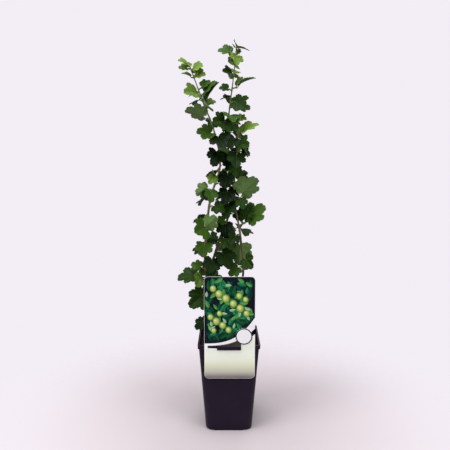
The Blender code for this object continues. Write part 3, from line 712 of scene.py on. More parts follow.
# limb, height on it, twig length, tone of each leaf (d dark, m mid, y young, p pale), then for each
# leaf its bearing, its rise, how far its face is rolled from upward to the front, and its length
foliage = {
    "leaves_rim_left": ("main_stem", 0.210, 0.026, "dd", ((184, -24, 45, 0.021), (150, 15, 40, 0.020))),
    "leaves_hang_left": ("main_stem", 0.272, 0.008, "md", ((222, -16, 58, 0.034), (150, -20, 40, 0.024))),
    "leaves_knot_left": ("main_stem", 0.300, 0.012, "myy", ((181, 12, 34, 0.033), (262, 0, 50, 0.026),
        (170, 80, 60, 0.017))),
    "leaves_mid_left": ("main_stem", 0.394, 0.004, "mpp", ((250, 14, 62, 0.033), (350, 62, -85, 0.026),
        (300, -30, -80, 0.018))),
    "leaves_low_left": ("main_stem", 0.368, 0.004, "m", ((262, -26, 15, 0.026),)),
    "leaves_high_left": ("main_stem", 0.470, 0.004, "pmm", ((200, -2, -80, 0.024), (212, -50, 50, 0.018),
        (275, -34, 15, 0.022))),
    "leaves_small_left": ("main_stem", 0.494, 0.004, "yy", ((225, -26, 55, 0.015), (255, 42, 50, 0.015))),
    "leaves_heart_low": ("main_stem", 0.546, 0.004, "ddp", ((255, -32, 30, 0.029), (335, -34, 20, 0.029),
        (340, 8, -80, 0.017))),
    "leaves_heart": ("main_stem", 0.572, 0.004, "d", ((290, -14, 20, 0.032),)),
    "leaves_heart_left": ("main_stem", 0.578, 0.004, "mm", ((230, -6, 24, 0.022), (222, 30, 60, 0.024))),
    "leaves_shoot_low": ("main_stem", 0.607, 0.004, "p", ((184, 38, -40, 0.033),)),
    "leaves_shoot_pale": ("main_stem", 0.624, 0.004, "y", ((276, 24, 50, 0.026),)),
    "leaves_shoot_mid": ("main_stem", 0.630, 0.004, "my", ((318, 74, 50, 0.035), (5, 34, 45, 0.015))),
    "leaves_shoot_high": ("main_stem", 0.650, 0.004, "yy", ((234, 18, 52, 0.027), (110, 5, 30, 0.016))),
    "leaves_shoot_neck": ("main_stem", 0.684, 0.003, "yy", ((330, 12, 60, 0.016), (350, 74, 60, 0.019))),
    "leaves_neck_left": ("main_stem", 0.682, 0.003, "y", ((195, 40, 28, 0.015),)),
    "leaves_shoot_tip": ("main_stem", 0.702, 0.004, "yyy", ((225, 34, 45, 0.017), (304, 16, 30, 0.012),
        (100, 60, 20, 0.012))),
    "leaves_centre_foot": ("centre_stem", 0.352, 0.004, "d", ((322, -34, 25, 0.033),)),
    "leaves_centre_low": ("centre_stem", 0.378, 0.004, "mp", ((310, -16, 25, 0.028), (345, 48, -80, 0.024))),
    "leaves_centre_turn": ("centre_stem", 0.408, 0.004, "dm", ((258, -52, 0, 0.026), (190, 10, 50, 0.016))),
    "leaves_centre_mid": ("centre_stem", 0.448, 0.004, "d", ((268, -34, 0, 0.030),)),
    "leaves_centre_hang": ("centre_stem", 0.472, 0.004, "dd", ((250, -32, 10, 0.028), (322, -30, 30, 0.020))),
    "leaves_centre_fall": ("centre_stem", 0.506, 0.005, "dm", ((252, -38, -5, 0.029), (180, -5, 40, 0.018))),
    "leaves_centre_blue": ("centre_stem", 0.598, 0.004, "mm", ((235, 12, 62, 0.030), (300, -70, 10, 0.018))),
    "leaves_crook": ("centre_stem", 0.612, 0.004, "m", ((282, -6, 10, 0.025),)),
    "leaves_upper_right": ("centre_stem", 0.628, 0.009, "mm", ((356, 8, 55, 0.022), (5, 50, 50, 0.025))),
    "leaves_upper_edge": ("centre_stem", 0.664, 0.008, "my", ((4, 46, 10, 0.030), (340, 66, 60, 0.018))),
    "leaves_upper_left": ("centre_stem", 0.686, 0.003, "m", ((230, 26, 60, 0.019),)),
    "leaves_top_dark": ("centre_stem", 0.706, 0.003, "my", ((256, 12, 60, 0.027), (350, 50, 50, 0.011))),
    "leaves_top_left": ("centre_stem", 0.726, 0.003, "m", ((186, 24, 45, 0.023),)),
    "leaves_top": ("centre_stem", 0.734, 0.006, "yyy", ((262, 40, 60, 0.015), (0, 8, 12, 0.019),
        (100, 40, 30, 0.012))),
    "leaves_right_foot": ("right_stem", 0.336, 0.004, "m", ((292, -6, 60, 0.026),)),
    "leaves_right_pale": ("right_stem", 0.366, 0.005, "p", ((100, -66, 15, 0.036),)),
    "leaves_right_wide": ("right_stem", 0.402, 0.014, "mm", ((352, 56, 62, 0.036), (300, 78, 60, 0.028))),
    "leaves_right_up": ("right_stem", 0.452, 0.010, "pm", ((350, 64, -58, 0.038), (295, -30, 20, 0.020))),
    "leaves_right_mid": ("right_stem", 0.516, 0.004, "m", ((268, -30, 5, 0.020),)),
    "leaves_right_dark": ("right_stem", 0.540, 0.004, "d", ((266, -30, 10, 0.028),)),
    "leaves_right_edge": ("right_stem", 0.556, 0.004, "mym", ((292, 10, 60, 0.028), (355, -28, 6, 0.018),
        (30, 10, 30, 0.020))),
    "leaves_right_bright": ("right_stem", 0.576, 0.004, "yy", ((354, 46, 30, 0.030), (250, 64, 30, 0.015))),
    "leaves_right_tip": ("right_stem", 0.604, 0.004, "yyy", ((285, 0, -60, 0.016), (335, 10, 50, 0.013),
        (130, 30, 20, 0.016))),
    "leaves_back_foot": ("main_stem", 0.262, 0.005, "md", ((100, 0, 30, 0.029), (60, 20, 30, 0.024))),
    "leaves_back_low": ("main_stem", 0.352, 0.005, "md", ((105, -5, 30, 0.029), (150, 10, 30, 0.020))),
    "leaves_back_left": ("main_stem", 0.412, 0.005, "md", ((100, -25, 20, 0.031), (140, 0, 30, 0.022))),
    "leaves_back_knee": ("main_stem", 0.508, 0.005, "md", ((110, -10, 30, 0.027), (150, -20, 30, 0.020))),
    "leaves_back_shoot": ("main_stem", 0.598, 0.004, "md", ((80, 5, 30, 0.024), (130, 10, 30, 0.020))),
    "leaves_back_centre": ("centre_stem", 0.364, 0.005, "md", ((85, -12, 20, 0.032), (130, 5, 20, 0.026))),
    "leaves_back_middle": ("centre_stem", 0.456, 0.005, "md", ((75, -20, 20, 0.032), (120, -5, 20, 0.027))),
    "leaves_back_heart": ("centre_stem", 0.545, 0.005, "md", ((95, -15, 20, 0.031), (45, 0, 20, 0.024))),
    "leaves_back_upper": ("centre_stem", 0.645, 0.004, "md", ((95, 5, 20, 0.022), (150, 15, 20, 0.017))),
    "leaves_back_right": ("right_stem", 0.392, 0.005, "md", ((70, -10, 20, 0.031), (110, 10, 20, 0.026))),
    "leaves_back_high": ("right_stem", 0.480, 0.005, "md", ((60, -15, 20, 0.031), (110, 0, 20, 0.026))),
}
# finer twigs that fill the crown on, in the same form
growth = {
    "topUpright": ("centre_stem", 0.726, 0.002, "y", ((45, 80, 60, 0.009),)),
    "topHanging": ("centre_stem", 0.722, 0.003, "y", ((258, -34, 20, 0.021),)),
    "tipRight": ("main_stem", 0.694, 0.003, "y", ((10, 34, 60, 0.016),)),
    "tipLeft": ("main_stem", 0.698, 0.003, "y", ((200, 16, 50, 0.014),)),
    "shootWide": ("main_stem", 0.649, 0.004, "m", ((10, 56, 60, 0.026),)),
    "shootRight": ("main_stem", 0.660, 0.004, "m", ((350, 50, 60, 0.015),)),
    "upperFall": ("centre_stem", 0.638, 0.004, "m", ((335, -12, 55, 0.024),)),
    "upperInner": ("centre_stem", 0.660, 0.003, "m", ((190, 20, 50, 0.015),)),
    "heartRight": ("centre_stem", 0.580, 0.004, "d", ((345, -10, 50, 0.024),)),
    "tipFall": ("right_stem", 0.596, 0.004, "m", ((215, -18, 55, 0.022),)),
    "edgeFall": ("right_stem", 0.570, 0.004, "d", ((235, -25, 45, 0.024),)),
    "edgeRight": ("right_stem", 0.545, 0.004, "m", ((340, -10, 55, 0.018),)),
    "wideUpper": ("right_stem", 0.486, 0.005, "m", ((20, 60, 55, 0.021),)),
    "kneeInner": ("main_stem", 0.440, 0.004, "m", ((335, -8, 60, 0.020),)),
    "kneeLower": ("main_stem", 0.384, 0.004, "d", ((330, -6, 40, 0.015),)),
    "middleRight": ("centre_stem", 0.424, 0.004, "d", ((350, -20, 40, 0.020),)),
    "lowerRight": ("right_stem", 0.384, 0.004, "d", ((205, -18, 50, 0.022),)),
    "footLeft": ("centre_stem", 0.336, 0.004, "d", ((255, -36, 30, 0.026),)),
    "footMiddle": ("centre_stem", 0.344, 0.004, "d", ((335, -34, 40, 0.024),)),
    "footRight": ("right_stem", 0.318, 0.004, "m", ((200, -22, 50, 0.021),)),
    "gapInner": ("main_stem", 0.484, 0.004, "d", ((330, -5, 40, 0.020),)),
    "footInner": ("centre_stem", 0.316, 0.004, "d", ((285, -28, 30, 0.022),)),
    "footOuter": ("main_stem", 0.318, 0.004, "m", ((150, 30, 50, 0.018),)),
    "kneeGap": ("centre_stem", 0.530, 0.004, "d", ((262, -50, 10, 0.018),)),
    "backTop": ("centre_stem", 0.690, 0.003, "yy", ((100, 10, 30, 0.020), (60, 40, 30, 0.015))),
    "backShoot": ("main_stem", 0.640, 0.004, "mm", ((120, 10, 30, 0.024), (70, 20, 30, 0.018))),
    "backUpper": ("centre_stem", 0.605, 0.004, "mm", ((70, 0, 25, 0.026), (120, 10, 30, 0.020))),
    "backTip": ("right_stem", 0.560, 0.004, "m", ((75, 10, 30, 0.022),)),
    "backInner": ("centre_stem", 0.500, 0.004, "d", ((110, -12, 25, 0.028),)),
    "backSide": ("right_stem", 0.440, 0.004, "m", ((50, -8, 25, 0.028),)),
    "backKnee": ("main_stem", 0.455, 0.004, "m", ((130, -12, 25, 0.027),)),
    "backLower": ("right_stem", 0.318, 0.004, "m", ((95, -6, 25, 0.024),)),
    "backFork": ("main_stem", 0.310, 0.004, "m", ((140, -8, 25, 0.024),)),
    "forkInner": ("main_stem", 0.296, 0.004, "m", ((335, -8, 50, 0.020),)),
}
allTwigs = {**foliage, **growth}
growthTurns = (0, 40, -40, 80, -80)     # a fine twig is set further round until it has room
leafRule = {"spurLean": 0.35, "spurRadius": 0.0012, "budStep": 0.24, "stalkRadius": 0.0006,
            "stalkShare": 0.34, "stalkSink": 0.12, "droop": 16, "fold": 0.28, "curl": 0.16,
            "thinness": 45, "middle": 0.38, "space": 0.0007, "tries": 21, "turn": 6, "base": 0.05,
            "lobes": ((8, 1.00), (26, 0.68), (38, 0.80), (54, 0.74), (76, 0.46), (98, 0.46), (130, 0.36))}


def heading(bearing, rise):
    flat, high = polar(rise)
    return Vector((*polar(bearing, flat), high))


def smoothLine(knots, steps):
    # a Catmull-Rom line through the knots
    points = [Vector(k) for k in knots]
    ends = [2 * points[0] - points[1]] + points + [2 * points[-1] - points[-2]]
    line = []
    for before, start, end, after in zip(ends, ends[1:], ends[2:], ends[3:]):
        line += interpolate_bezier(start, start + (end - before) / 6, end - (after - start) / 6, end, steps + 1)[:-1]
    return line + [points[-1]]


def limbLine(name, steps=limbRule["steps"]):
    fork, knots, (first, last) = limbs[name]
    if fork:
        parent, height, bearing = fork
        place, parentRadius, _ = atHeight(limbLine(parent), height)
        seat = parentRadius + clearance + first * limbRule["forkSeat"]
        points = smoothLine([place + heading(bearing, 0) * seat, *knots], steps)
    else:
        foot = Vector(knots[0])
        points = [foot] + smoothLine([foot + Vector((0, 0, limbRule["footHeight"])), *knots[1:]], steps)
    lengths = [0.0]
    for a, b in zip(points, points[1:]):
        lengths.append(lengths[-1] + (b - a).length)
    radii = []
    for point, length in zip(points, lengths):
        radius = mix(first, last, length / lengths[-1])
        if not fork:
            radius *= 1 + limbRule["flareGain"] * math.exp(-(point.z - points[0].z) / limbRule["flareHeight"])
        radii.append(radius)
    return list(zip(points, radii))


def atHeight(line, height):
    # place, radius and direction there; past the line's end it has no direction
    for (a, radiusA), (b, radiusB) in zip(line, line[1:]):
        if a.z <= height <= b.z:
            share = (height - a.z) / (b.z - a.z)
            return a.lerp(b, share), mix(radiusA, radiusB, share), (b - a).normalized()
    return *line[-1], None


def bladeFrame(bearing, rise, roll):
    along = heading(bearing, rise - leafRule["droop"])
    side = along.cross(Vector((0, 0, 1))).normalized()
    upward = side.cross(along)
    frontward = side if side.dot(Vector((0.25, -1, 0))) > 0 else -side
    face = upward * math.cos(math.radians(roll)) + frontward * math.sin(math.radians(roll))
    return along, along.cross(face), face


def bladeLift(u, v, size):
    return leafRule["fold"] * abs(v) - leafRule["curl"] * u * u / size


def bladeSpace(base, axes, size, space):
    # the space that a leaf needs: a thin lens in the lobed outline
    along, across, face = axes
    half = leafRule["lobes"]
    outline = [*half, (180, leafRule["base"])] + [(-angle, reach) for angle, reach in reversed(half)]
    verts = []
    for angle, reach in outline:
        u, v = polar(angle, size * reach + space)
        verts.append(base + along * u + across * v + face * bladeLift(u, v, size))
    middle = size * leafRule["middle"]
    centre = base + along * middle + face * bladeLift(middle, 0, size)
    thickness = size / leafRule["thinness"] / 2 + space
    verts += [centre + face * thickness, centre - face * thickness]
    count, faces = len(outline), []
    for i in range(count):
        j = (i + 1) % count
        faces += [(count, i, j), (count + 1, j, i)]
    return verts, faces


def tubeSpace(points, radius):
    # a three-sided tube along the points
    verts, faces, last = [], [], len(points) - 1
    for i, point in enumerate(points):
        along = (points[min(i + 1, last)] - points[max(i - 1, 0)]).normalized()
        side = along.orthogonal().normalized() if i == 0 else (side - along * side.dot(along)).normalized()
        lift = along.cross(side)
        for turn in (0, 1, 2):
            angle = math.tau * turn / 3
            verts.append(point + (side * math.cos(angle) + lift * math.sin(angle)) * radius)
    for i in range(last):
        for turn in (0, 1, 2):
            a, b = 3 * i + turn, 3 * i + (turn + 1) % 3
            faces.append((a, b, b + 3, a + 3))
    return verts, faces + [(2, 1, 0), (3 * last, 3 * last + 1, 3 * last + 2)]


def inside(tree, point):
    nearest, normal, _, _ = tree.find_nearest(point)
    return (point - nearest).dot(normal) < 0


def crosses(shape, trees):
    tree = BVHTree.FromPolygons(*shape)
    return any(tree.overlap(other) for other in trees)


def spurSpace(start, tip):
    back = (start - tip).normalized() * clearance
    return tubeSpace([start + back, tip], leafRule["spurRadius"] + clearance)


def spurLine(limbTree, line, height, bearing, length):
    start, _, axis = atHeight(line, height)
    if axis:
        outward = heading(bearing, 0)
        way = ((outward - axis * outward.dot(axis)).normalized() + axis * leafRule["spurLean"]).normalized()
    else:
        way = (line[-1][0] - line[-2][0]).normalized()
    start = start.copy()
    while inside(limbTree, start) or crosses(spurSpace(start, start + way * length), [limbTree]):
        start += way * clearance / 3
    return start, start + way * length, way


def stalkLine(bud, way, leaf, steps=3):
    bearing, rise, roll, size = leaf
    length = size * leafRule["stalkShare"]
    axes = bladeFrame(bearing, rise, roll)
    base = bud + heading(bearing, rise) * length
    bend = interpolate_bezier(bud - way * leafRule["spurRadius"], bud + way * length / 3,
                              base - axes[0] * length / 3, base, steps)
    return bend, base, axes


def leafSpaces(bud, way, leaf, space):
    bend, base, axes = stalkLine(bud, way, leaf)
    blade = bladeSpace(base, axes, leaf[3], space)
    stalk = tubeSpace(bend[:2] + [base + axes[0] * leaf[3] * leafRule["stalkSink"]], leafRule["stalkRadius"] + space)
    return blade, stalk


def fitLeaf(bud, way, leaf, taken, own, tries=leafRule["tries"]):
    # the leaf is turned a little further each try until it has its space to itself
    bearing, rise, roll, size = leaf
    for keptOff in (taken + own, taken):
        for attempt in range(tries):
            step = (attempt + 1) // 2 * (1 if attempt % 2 else -1)
            turned = (bearing + step * leafRule["turn"], rise + step, roll, size)
            blade, stalk = leafSpaces(bud, way, turned, leafRule["space"])
            if not crosses(blade, keptOff) and not crosses(stalk, taken):
                return turned
    return None


# a few small leaves nearer each twig's foot
sprig = {"perTwig": 2, "places": (0.12, 0.20), "aside": (70, 290), "rises": (5, 60), "rolls": (0, 40),
         "sizes": (0.0085, 0.0125), "seed": 11, "tries": 5}


def setOut():
    # every leaf of the source in its fitted place, then the finer twigs and the small leaves
    trees = {name: treeOf(node.data) for name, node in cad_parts.items()
             if name in limbs or name in ("pot", "compost", "label_card", "label_badge")}
    still, placed = list(trees.values()), []

    def setLeaf(name, bud, leaf, tone, taken, own, tries=leafRule["tries"]):
        way = spurs[name][2]
        fitted = fitLeaf(bud, way, leaf, taken, own, tries)
        if fitted:
            blade, stalk = leafSpaces(bud, way, fitted, leafRule["space"] / 2)
            own.append(BVHTree.FromPolygons(*blade))
            still.extend((own[-1], BVHTree.FromPolygons(*stalk)))
            placed.append((name, bud, way, fitted, tone))
        return fitted

    def others(name):
        return still + [space for other, space in spaces.items() if other != name]

    spurs = {name: spurLine(trees[limb], limbLine(limb), height, leaves[0][0], length)
             for name, (limb, height, length, _, leaves) in foliage.items()}
    spaces = {name: BVHTree.FromPolygons(*spurSpace(start, tip)) for name, (start, tip, _) in spurs.items()}
    for name, (_, _, _, tones, leaves) in foliage.items():
        (start, tip, _), taken, own = spurs[name], others(name), []
        for index, (leaf, tone) in enumerate(zip(leaves, tones)):
            if not setLeaf(name, tip.lerp(start, leafRule["budStep"] * index), leaf, tone, taken, own):
                print("no room for a leaf of", name)
    for name, (limb, height, length, tones, leaves) in growth.items():
        taken = others(None)
        for turn in growthTurns:
            start, tip, way = spurLine(trees[limb], limbLine(limb), height, leaves[0][0] + turn, length)
            if not crosses(spurSpace(start, tip), taken):
                break
        spurs[name], fitted = (start, tip, way), []
        for index, (leaf, tone) in enumerate(zip(leaves, tones)):
            fitted.append(setLeaf(name, tip.lerp(start, leafRule["budStep"] * index), leaf, tone, taken, []))
        if any(fitted):
            spaces[name] = BVHTree.FromPolygons(*spurSpace(start, tip))
        else:
            print("no room on the fine twig", name)
            del spurs[name]
    dice, (first, step) = random.Random(sprig["seed"]), sprig["places"]
    for name, (_, _, _, tones, leaves) in foliage.items():
        start, tip, _ = spurs[name]
        for index in range(sprig["perTwig"]):
            leaf = (leaves[0][0] + dice.uniform(*sprig["aside"]), dice.uniform(*sprig["rises"]),
                    dice.uniform(*sprig["rolls"]), dice.uniform(*sprig["sizes"]))
            setLeaf(name, start.lerp(tip, first + step * index), leaf, "m" if tones[0] == "d" else "y",
                    others(name), [], sprig["tries"])
    return spurs, placed


spurs, placedLeaves = setOut()
print("leaves set out:", len(placedLeaves))


# Bark, twigs, stalks, buds and spines are tubes along their own lines

bark = {
    "lineSteps": 10, "mostSwell": 0.5, "footGain": 1.12, "collar": (1.2, 0.6), "collarGain": 0.18,
    "tip": ((0.5, 0.8), (0.9, 0.35)),
    "ringStep": 0.0012, "sides": 20, "relief": 0.00034, "ridgeScale": 1400.0, "ridgeStretch": 0.22,
    "sunk": 0.004, "nodeSwell": 0.38, "nodeLength": 0.0022, "forkSwell": 0.30, "forkLength": 0.006,
    "finish": {"first": linear(112, 78, 66), "second": linear(78, 56, 48), "patch": 220, "grain": 1700,
               "stretch": 0.22, "rough": (0.55, 0.8), "bump": 0.00035, "strength": 0.7,
               "rise": (0.30, 0.56, linear(106, 122, 62)), "wander": 0.09},
    "twigRise": (0.26, 0.50, linear(116, 118, 66)),
    "stalkFinish": {"first": linear(72, 92, 38), "second": linear(96, 112, 52), "patch": 130, "grain": 1800,
                    "rough": (0.4, 0.55), "bump": 0.00008},
    "budFinish": {"first": linear(112, 84, 58), "second": linear(140, 112, 80), "patch": 500, "grain": 2500,
                  "rough": (0.5, 0.7), "bump": 0.0001},
    "spineFinish": {"first": linear(150, 118, 86), "second": linear(122, 90, 66), "patch": 400, "grain": 2500,
                    "rough": (0.4, 0.55), "bump": 0.00005},
}


twigRule = {"seed": 23, "rooted": 0.8, "step": 0.0008, "leastSteps": 6, "taper": (1.25, 0.95),
            "ringLength": 0.0016, "ringHeight": 0.10, "tip": (0.7, 0.5), "sides": 12, "relief": 0.00012}
budRule = {"longTwig": 0.006, "rises": (-40, 40), "places": (0.35, 0.95), "seat": 0.7, "lean": 0.9,
           "sizes": (0.0016, 0.0026), "row": ((0, 0.20), (0.25, 0.30), (0.55, 0.27), (0.85, 0.13), (1.0, 0.02)),
           "sides": 7}
spineRule = {"highest": 0.6, "aside": 75, "sets": ((0,), (-28, 28), (-35, 0, 35)), "rises": (-22, 6),
             "sizes": (0.0045, 0.0075), "below": (0.0010, 0.0016),
             "row": ((0, 0.00042), (0.3, 0.00034), (0.7, 0.0002), (1.0, 0.00003)), "sides": 5}
# a stalk is thicker on a larger leaf and at its foot, and ends inside the leaf
stalkRule = {"steps": 10, "radii": (0.00045, 0.00075), "smallest": 0.008, "range": 0.03, "footGain": 0.6,
             "footSteps": 1.2, "ends": ((0.03, 0.8), (0.06, 0.35)), "sides": 8}


def tubeTree():
    tree, given, leave = newTree("ridgedTube", (
        ("Sides", "Int", 12), ("Relief", "Float", 0.0), ("Ridge Scale", "Float", 1000.0),
        ("Ridge Stretch", "Float", 1.0), ("Finish", "Material", None)))
    ring = addNode(tree, "GeometryNodeCurvePrimitiveCircle", {"Radius": 1.0, "Resolution": given["Sides"]})
    tube = addNode(tree, "GeometryNodeCurveToMesh", {
        "Curve": given["Geometry"], "Profile Curve": ring.outputs["Curve"],
        "Scale": addNode(tree, "GeometryNodeInputRadius").outputs[0], "Fill Caps": True})
    place, normal = (addNode(tree, "GeometryNodeInput" + kind).outputs[0] for kind in ("Position", "Normal"))
    ridges = addNode(tree, "ShaderNodeTexNoise", {
        "Detail": 3.0, "Vector": stretched(tree, place, given["Ridge Stretch"]), "Scale": given["Ridge Scale"]})
    height = maths(tree, "MULTIPLY", maths(tree, "SUBTRACT", ridges.outputs[0], 0.5), given["Relief"])
    push = addNode(tree, "ShaderNodeVectorMath", {0: normal, "Scale": height}, operation="SCALE")
    shape = addNode(tree, "GeometryNodeSetPosition", {"Geometry": tube.outputs[0], "Offset": push.outputs[0]})
    smooth = addNode(tree, "GeometryNodeSetShadeSmooth", {"Geometry": shape.outputs[0]})
    solid = addNode(tree, "GeometryNodeRealizeInstances", {"Geometry": smooth.outputs[0]})
    paint = addNode(tree, "GeometryNodeSetMaterial", {"Geometry": solid.outputs[0], "Material": given["Finish"]})
    plug(tree, leave, {0: paint.outputs[0]})
    return tree


ridgedTube = tubeTree()


def makeTubes(name, lines, finish, slot, sides, relief=0.0, nodes=()):
    # each line is a row of places with their radii
    curve = bpy.data.curves.new(name, "CURVE")
    curve.dimensions = "3D"
    for line in lines:
        spline = curve.splines.new("POLY")
        spline.points.add(len(line) - 1)
        for point, (place, radius) in zip(spline.points, line):
            point.co, point.radius = (*place, 1), radius
    piece = addPiece(name, curve)
    addModifier(piece, ridgedTube, {
        "Sides": sides, "Relief": relief, "Ridge Scale": bark["ridgeScale"],
        "Ridge Stretch": bark["ridgeStretch"], "Finish": finish})
    declare(bakePiece(piece), slot, *nodes)


def fineLine(line, step):
    # the line cut into short even steps, the radius carried along
    fine = []
    for (a, radiusA), (b, radiusB) in zip(line, line[1:]):
        count = max(1, round((b - a).length / step))
        fine += [(a.lerp(b, i / count), mix(radiusA, radiusB, i / count)) for i in range(count)]
    return fine + [line[-1]]


def makeBark():
    finish = makeFinish("youngBark", bark["finish"])
    for name, (fork, _, _) in limbs.items():
        line = fineLine(limbLine(name, bark["lineSteps"]), bark["ringStep"])
        joints = [start for key, (start, _, _) in spurs.items() if allTwigs[key][0] == name]
        mouths = [limbLine(other)[0][0] for other in limbs if limbs[other][0] and limbs[other][0][0] == name]
        swollen = []
        for place, radius in line:
            gain = sum(bark["nodeSwell"] * math.exp(-((place - joint).length / bark["nodeLength"]) ** 2 / 2)
                       for joint in joints)
            gain += sum(bark["forkSwell"] * math.exp(-((place - mouth).length / bark["forkLength"]) ** 2)
                        for mouth in mouths)
            swollen.append((place, radius * (1 + min(gain, bark["mostSwell"]))))
        (foot, wide), (second, _) = swollen[:2]
        if fork:
            # the foot of a side stem widens into a collar on its parent
            back = (foot - second).normalized()
            swollen = [(foot + back * wide * step, wide * (1.0 + bark["collarGain"] * step))
                       for step in bark["collar"]] + swollen
        else:
            swollen = [(foot - Vector((0, 0, bark["sunk"])), wide * bark["footGain"])] + swollen
        (before, _), (tip, radius) = swollen[-2:]
        onward = (tip - before).normalized()
        swollen += [(tip + onward * radius * along, radius * slim) for along, slim in bark["tip"]]
        makeTubes("bark_" + name, [swollen], finish, "bark", bark["sides"], bark["relief"], [name])


def twigLine(root, tip, way, radius):
    # a short ringed twig that narrows to a blunt tip
    length = (tip - root).length
    count = max(twigRule["leastSteps"], round(length / twigRule["step"]))
    line = []
    for i in range(count + 1):
        share = i / count
        ringed = 1 + twigRule["ringHeight"] * math.cos(share * length / twigRule["ringLength"] * math.tau)
        line.append((root.lerp(tip, share), radius * mix(*twigRule["taper"], share) * ringed))
    onward, slim = twigRule["tip"]
    return line + [(tip + way * radius * onward, radius * slim)]


def budLine(root, tip, way, radius, dice):
    side = way.cross(heading(dice.uniform(0, 360), dice.uniform(*budRule["rises"]))).normalized()
    seat = root.lerp(tip, dice.uniform(*budRule["places"])) + side * radius * budRule["seat"]
    point = (side + way * budRule["lean"]).normalized()
    size = dice.uniform(*budRule["sizes"])
    return [(seat + point * size * at, size * wide) for at, wide in budRule["row"]]


def spineLine(start, way, bearing, dice):
    out = heading(bearing, dice.uniform(*spineRule["rises"]))
    size = dice.uniform(*spineRule["sizes"])
    behind, lower = spineRule["below"]
    foot = start - way * behind - Vector((0, 0, lower))
    return [(foot + out * size * at, wide) for at, wide in spineRule["row"]]


def thickStalk(bud, way, leaf):
    bend, base, axes = stalkLine(bud, way, leaf, stalkRule["steps"])
    thick = mix(*stalkRule["radii"], (leaf[3] - stalkRule["smallest"]) / stalkRule["range"])
    line = [(place, thick * (1 + stalkRule["footGain"] * math.exp(-i / stalkRule["footSteps"])))
            for i, place in enumerate(bend)]
    return line + [(base + axes[0] * leaf[3] * share, thick * slim) for share, slim in stalkRule["ends"]]


def makeTwigs():
    dice, radius = random.Random(twigRule["seed"]), leafRule["spurRadius"]
    twigs, buds, spines = [], [], []
    for name, (start, tip, way) in spurs.items():
        limb, _, length, _, leaves = allTwigs[name]
        line = limbLine(limb)
        root = start - way * atHeight(line, min(start.z, line[-1][0].z))[1] * twigRule["rooted"]
        twigs.append(twigLine(root, tip, way, radius))
        for _ in range(2 if length < budRule["longTwig"] else 3):
            buds.append(budLine(root, tip, way, radius, dice))
        if start.z < spineRule["highest"]:
            for turn in dice.choice(spineRule["sets"]):
                spines.append(spineLine(start, way, leaves[0][0] + spineRule["aside"] + turn, dice))
    stalks = [thickStalk(bud, way, leaf) for _, bud, way, leaf, _ in placedLeaves]
    twigFinish = makeFinish("twigBark", {**bark["finish"], "rise": bark["twigRise"]})
    makeTubes("twigs", twigs, twigFinish, "bark", twigRule["sides"], twigRule["relief"])
    makeTubes("leaf_stalks", stalks, makeFinish("leafStalk", bark["stalkFinish"]), "leaf", stalkRule["sides"])
    makeTubes("buds", buds, makeFinish("budScale", bark["budFinish"]), "bark", budRule["sides"])
    makeTubes("spines", spines, makeFinish("spine", bark["spineFinish"]), "bark", spineRule["sides"])


makeBark()
makeTwigs()
print("bark, twigs and stalks are grown")


# Leaf blades

blade = {
    # half of the outline: angle from the midrib, reach as a share of the length
    "outline": ((0, 1.00), (10, 0.985), (19, 0.90), (26, 0.74), (29, 0.71), (35, 0.79), (45, 0.84), (56, 0.80),
                (65, 0.70), (73, 0.59), (82, 0.61), (94, 0.62), (106, 0.57), (120, 0.46), (140, 0.34),
                (160, 0.21), (180, 0.05)),
    "veins": (0, 47, 93), "veinWidth": 0.016, "rings": (0.10, 0.28, 0.48, 0.67, 0.83, 0.93, 1.0),
    "columns": 40, "teeth": 10, "toothDepth": 0.058, "softFold": 0.05, "pillow": 0.042, "wave": 0.026,
    "thickness": 0.00036, "hang": 0.03, "seed": 7,
    # what differs from leaf to leaf: the halves' lobes, the teeth of small ones, waves, curl and twist
    "lobeGain": 0.07, "lobed": (25, 140), "smallSize": 0.017, "smallTeeth": 7, "waves": (3, 4, 5),
    "curls": (0.75, 1.35), "twist": 0.05,
    # a margin column keeps this far off a vein, whose own two columns stand this far off its middle
    "veinGap": 2.4, "veinHalf": 0.01, "veinTaper": 0.35, "veinShare": 0.035, "ridge": 0.5, "upperRidge": 0.4,
    "lastMark": 150, "toothMiddle": 0.72, "toothStart": 6,
    # side veins: where on a main vein each starts and ends, how far it turns off, height and width
    "sideVeins": ((0.22, 0.46, 24), (0.40, 0.66, 20), (0.58, 0.82, 15)), "sideSteps": 4, "sideBend": 0.8,
    "sideReach": 1.1, "sideTaper": 0.6, "sideRise": 0.00014, "sideWidth": 0.00030, "crease": 80,
}
tones = {
    "d": ("foliage_dark", (6, 24, 0), (18, 42, 4), (42, 70, 28), (44, 74, 24)),
    "m": ("foliage_mid", (30, 56, 10), (50, 80, 20), (72, 102, 50), (84, 112, 44)),
    "y": ("foliage_young", (84, 112, 40), (102, 132, 50), (108, 138, 70), (134, 156, 78)),
    "p": ("foliage_pale", (80, 106, 46), (94, 122, 54), (98, 128, 70), (130, 152, 88)),
}
leafFinish = {"patch": 150, "grain": 1300, "bump": 0.0001, "strength": 0.4, "sockets": {"Specular IOR Level": 0.09}}
# the parts of a blade in the order of the tones' colours: how dark their patches are, and roughness
bladeParts = (("FaceA", 0.86, (0.42, 0.55)), ("FaceB", 0.86, (0.42, 0.55)), ("Under", 0.86, (0.55, 0.68)),
              ("Vein", 0.95, (0.42, 0.55)))


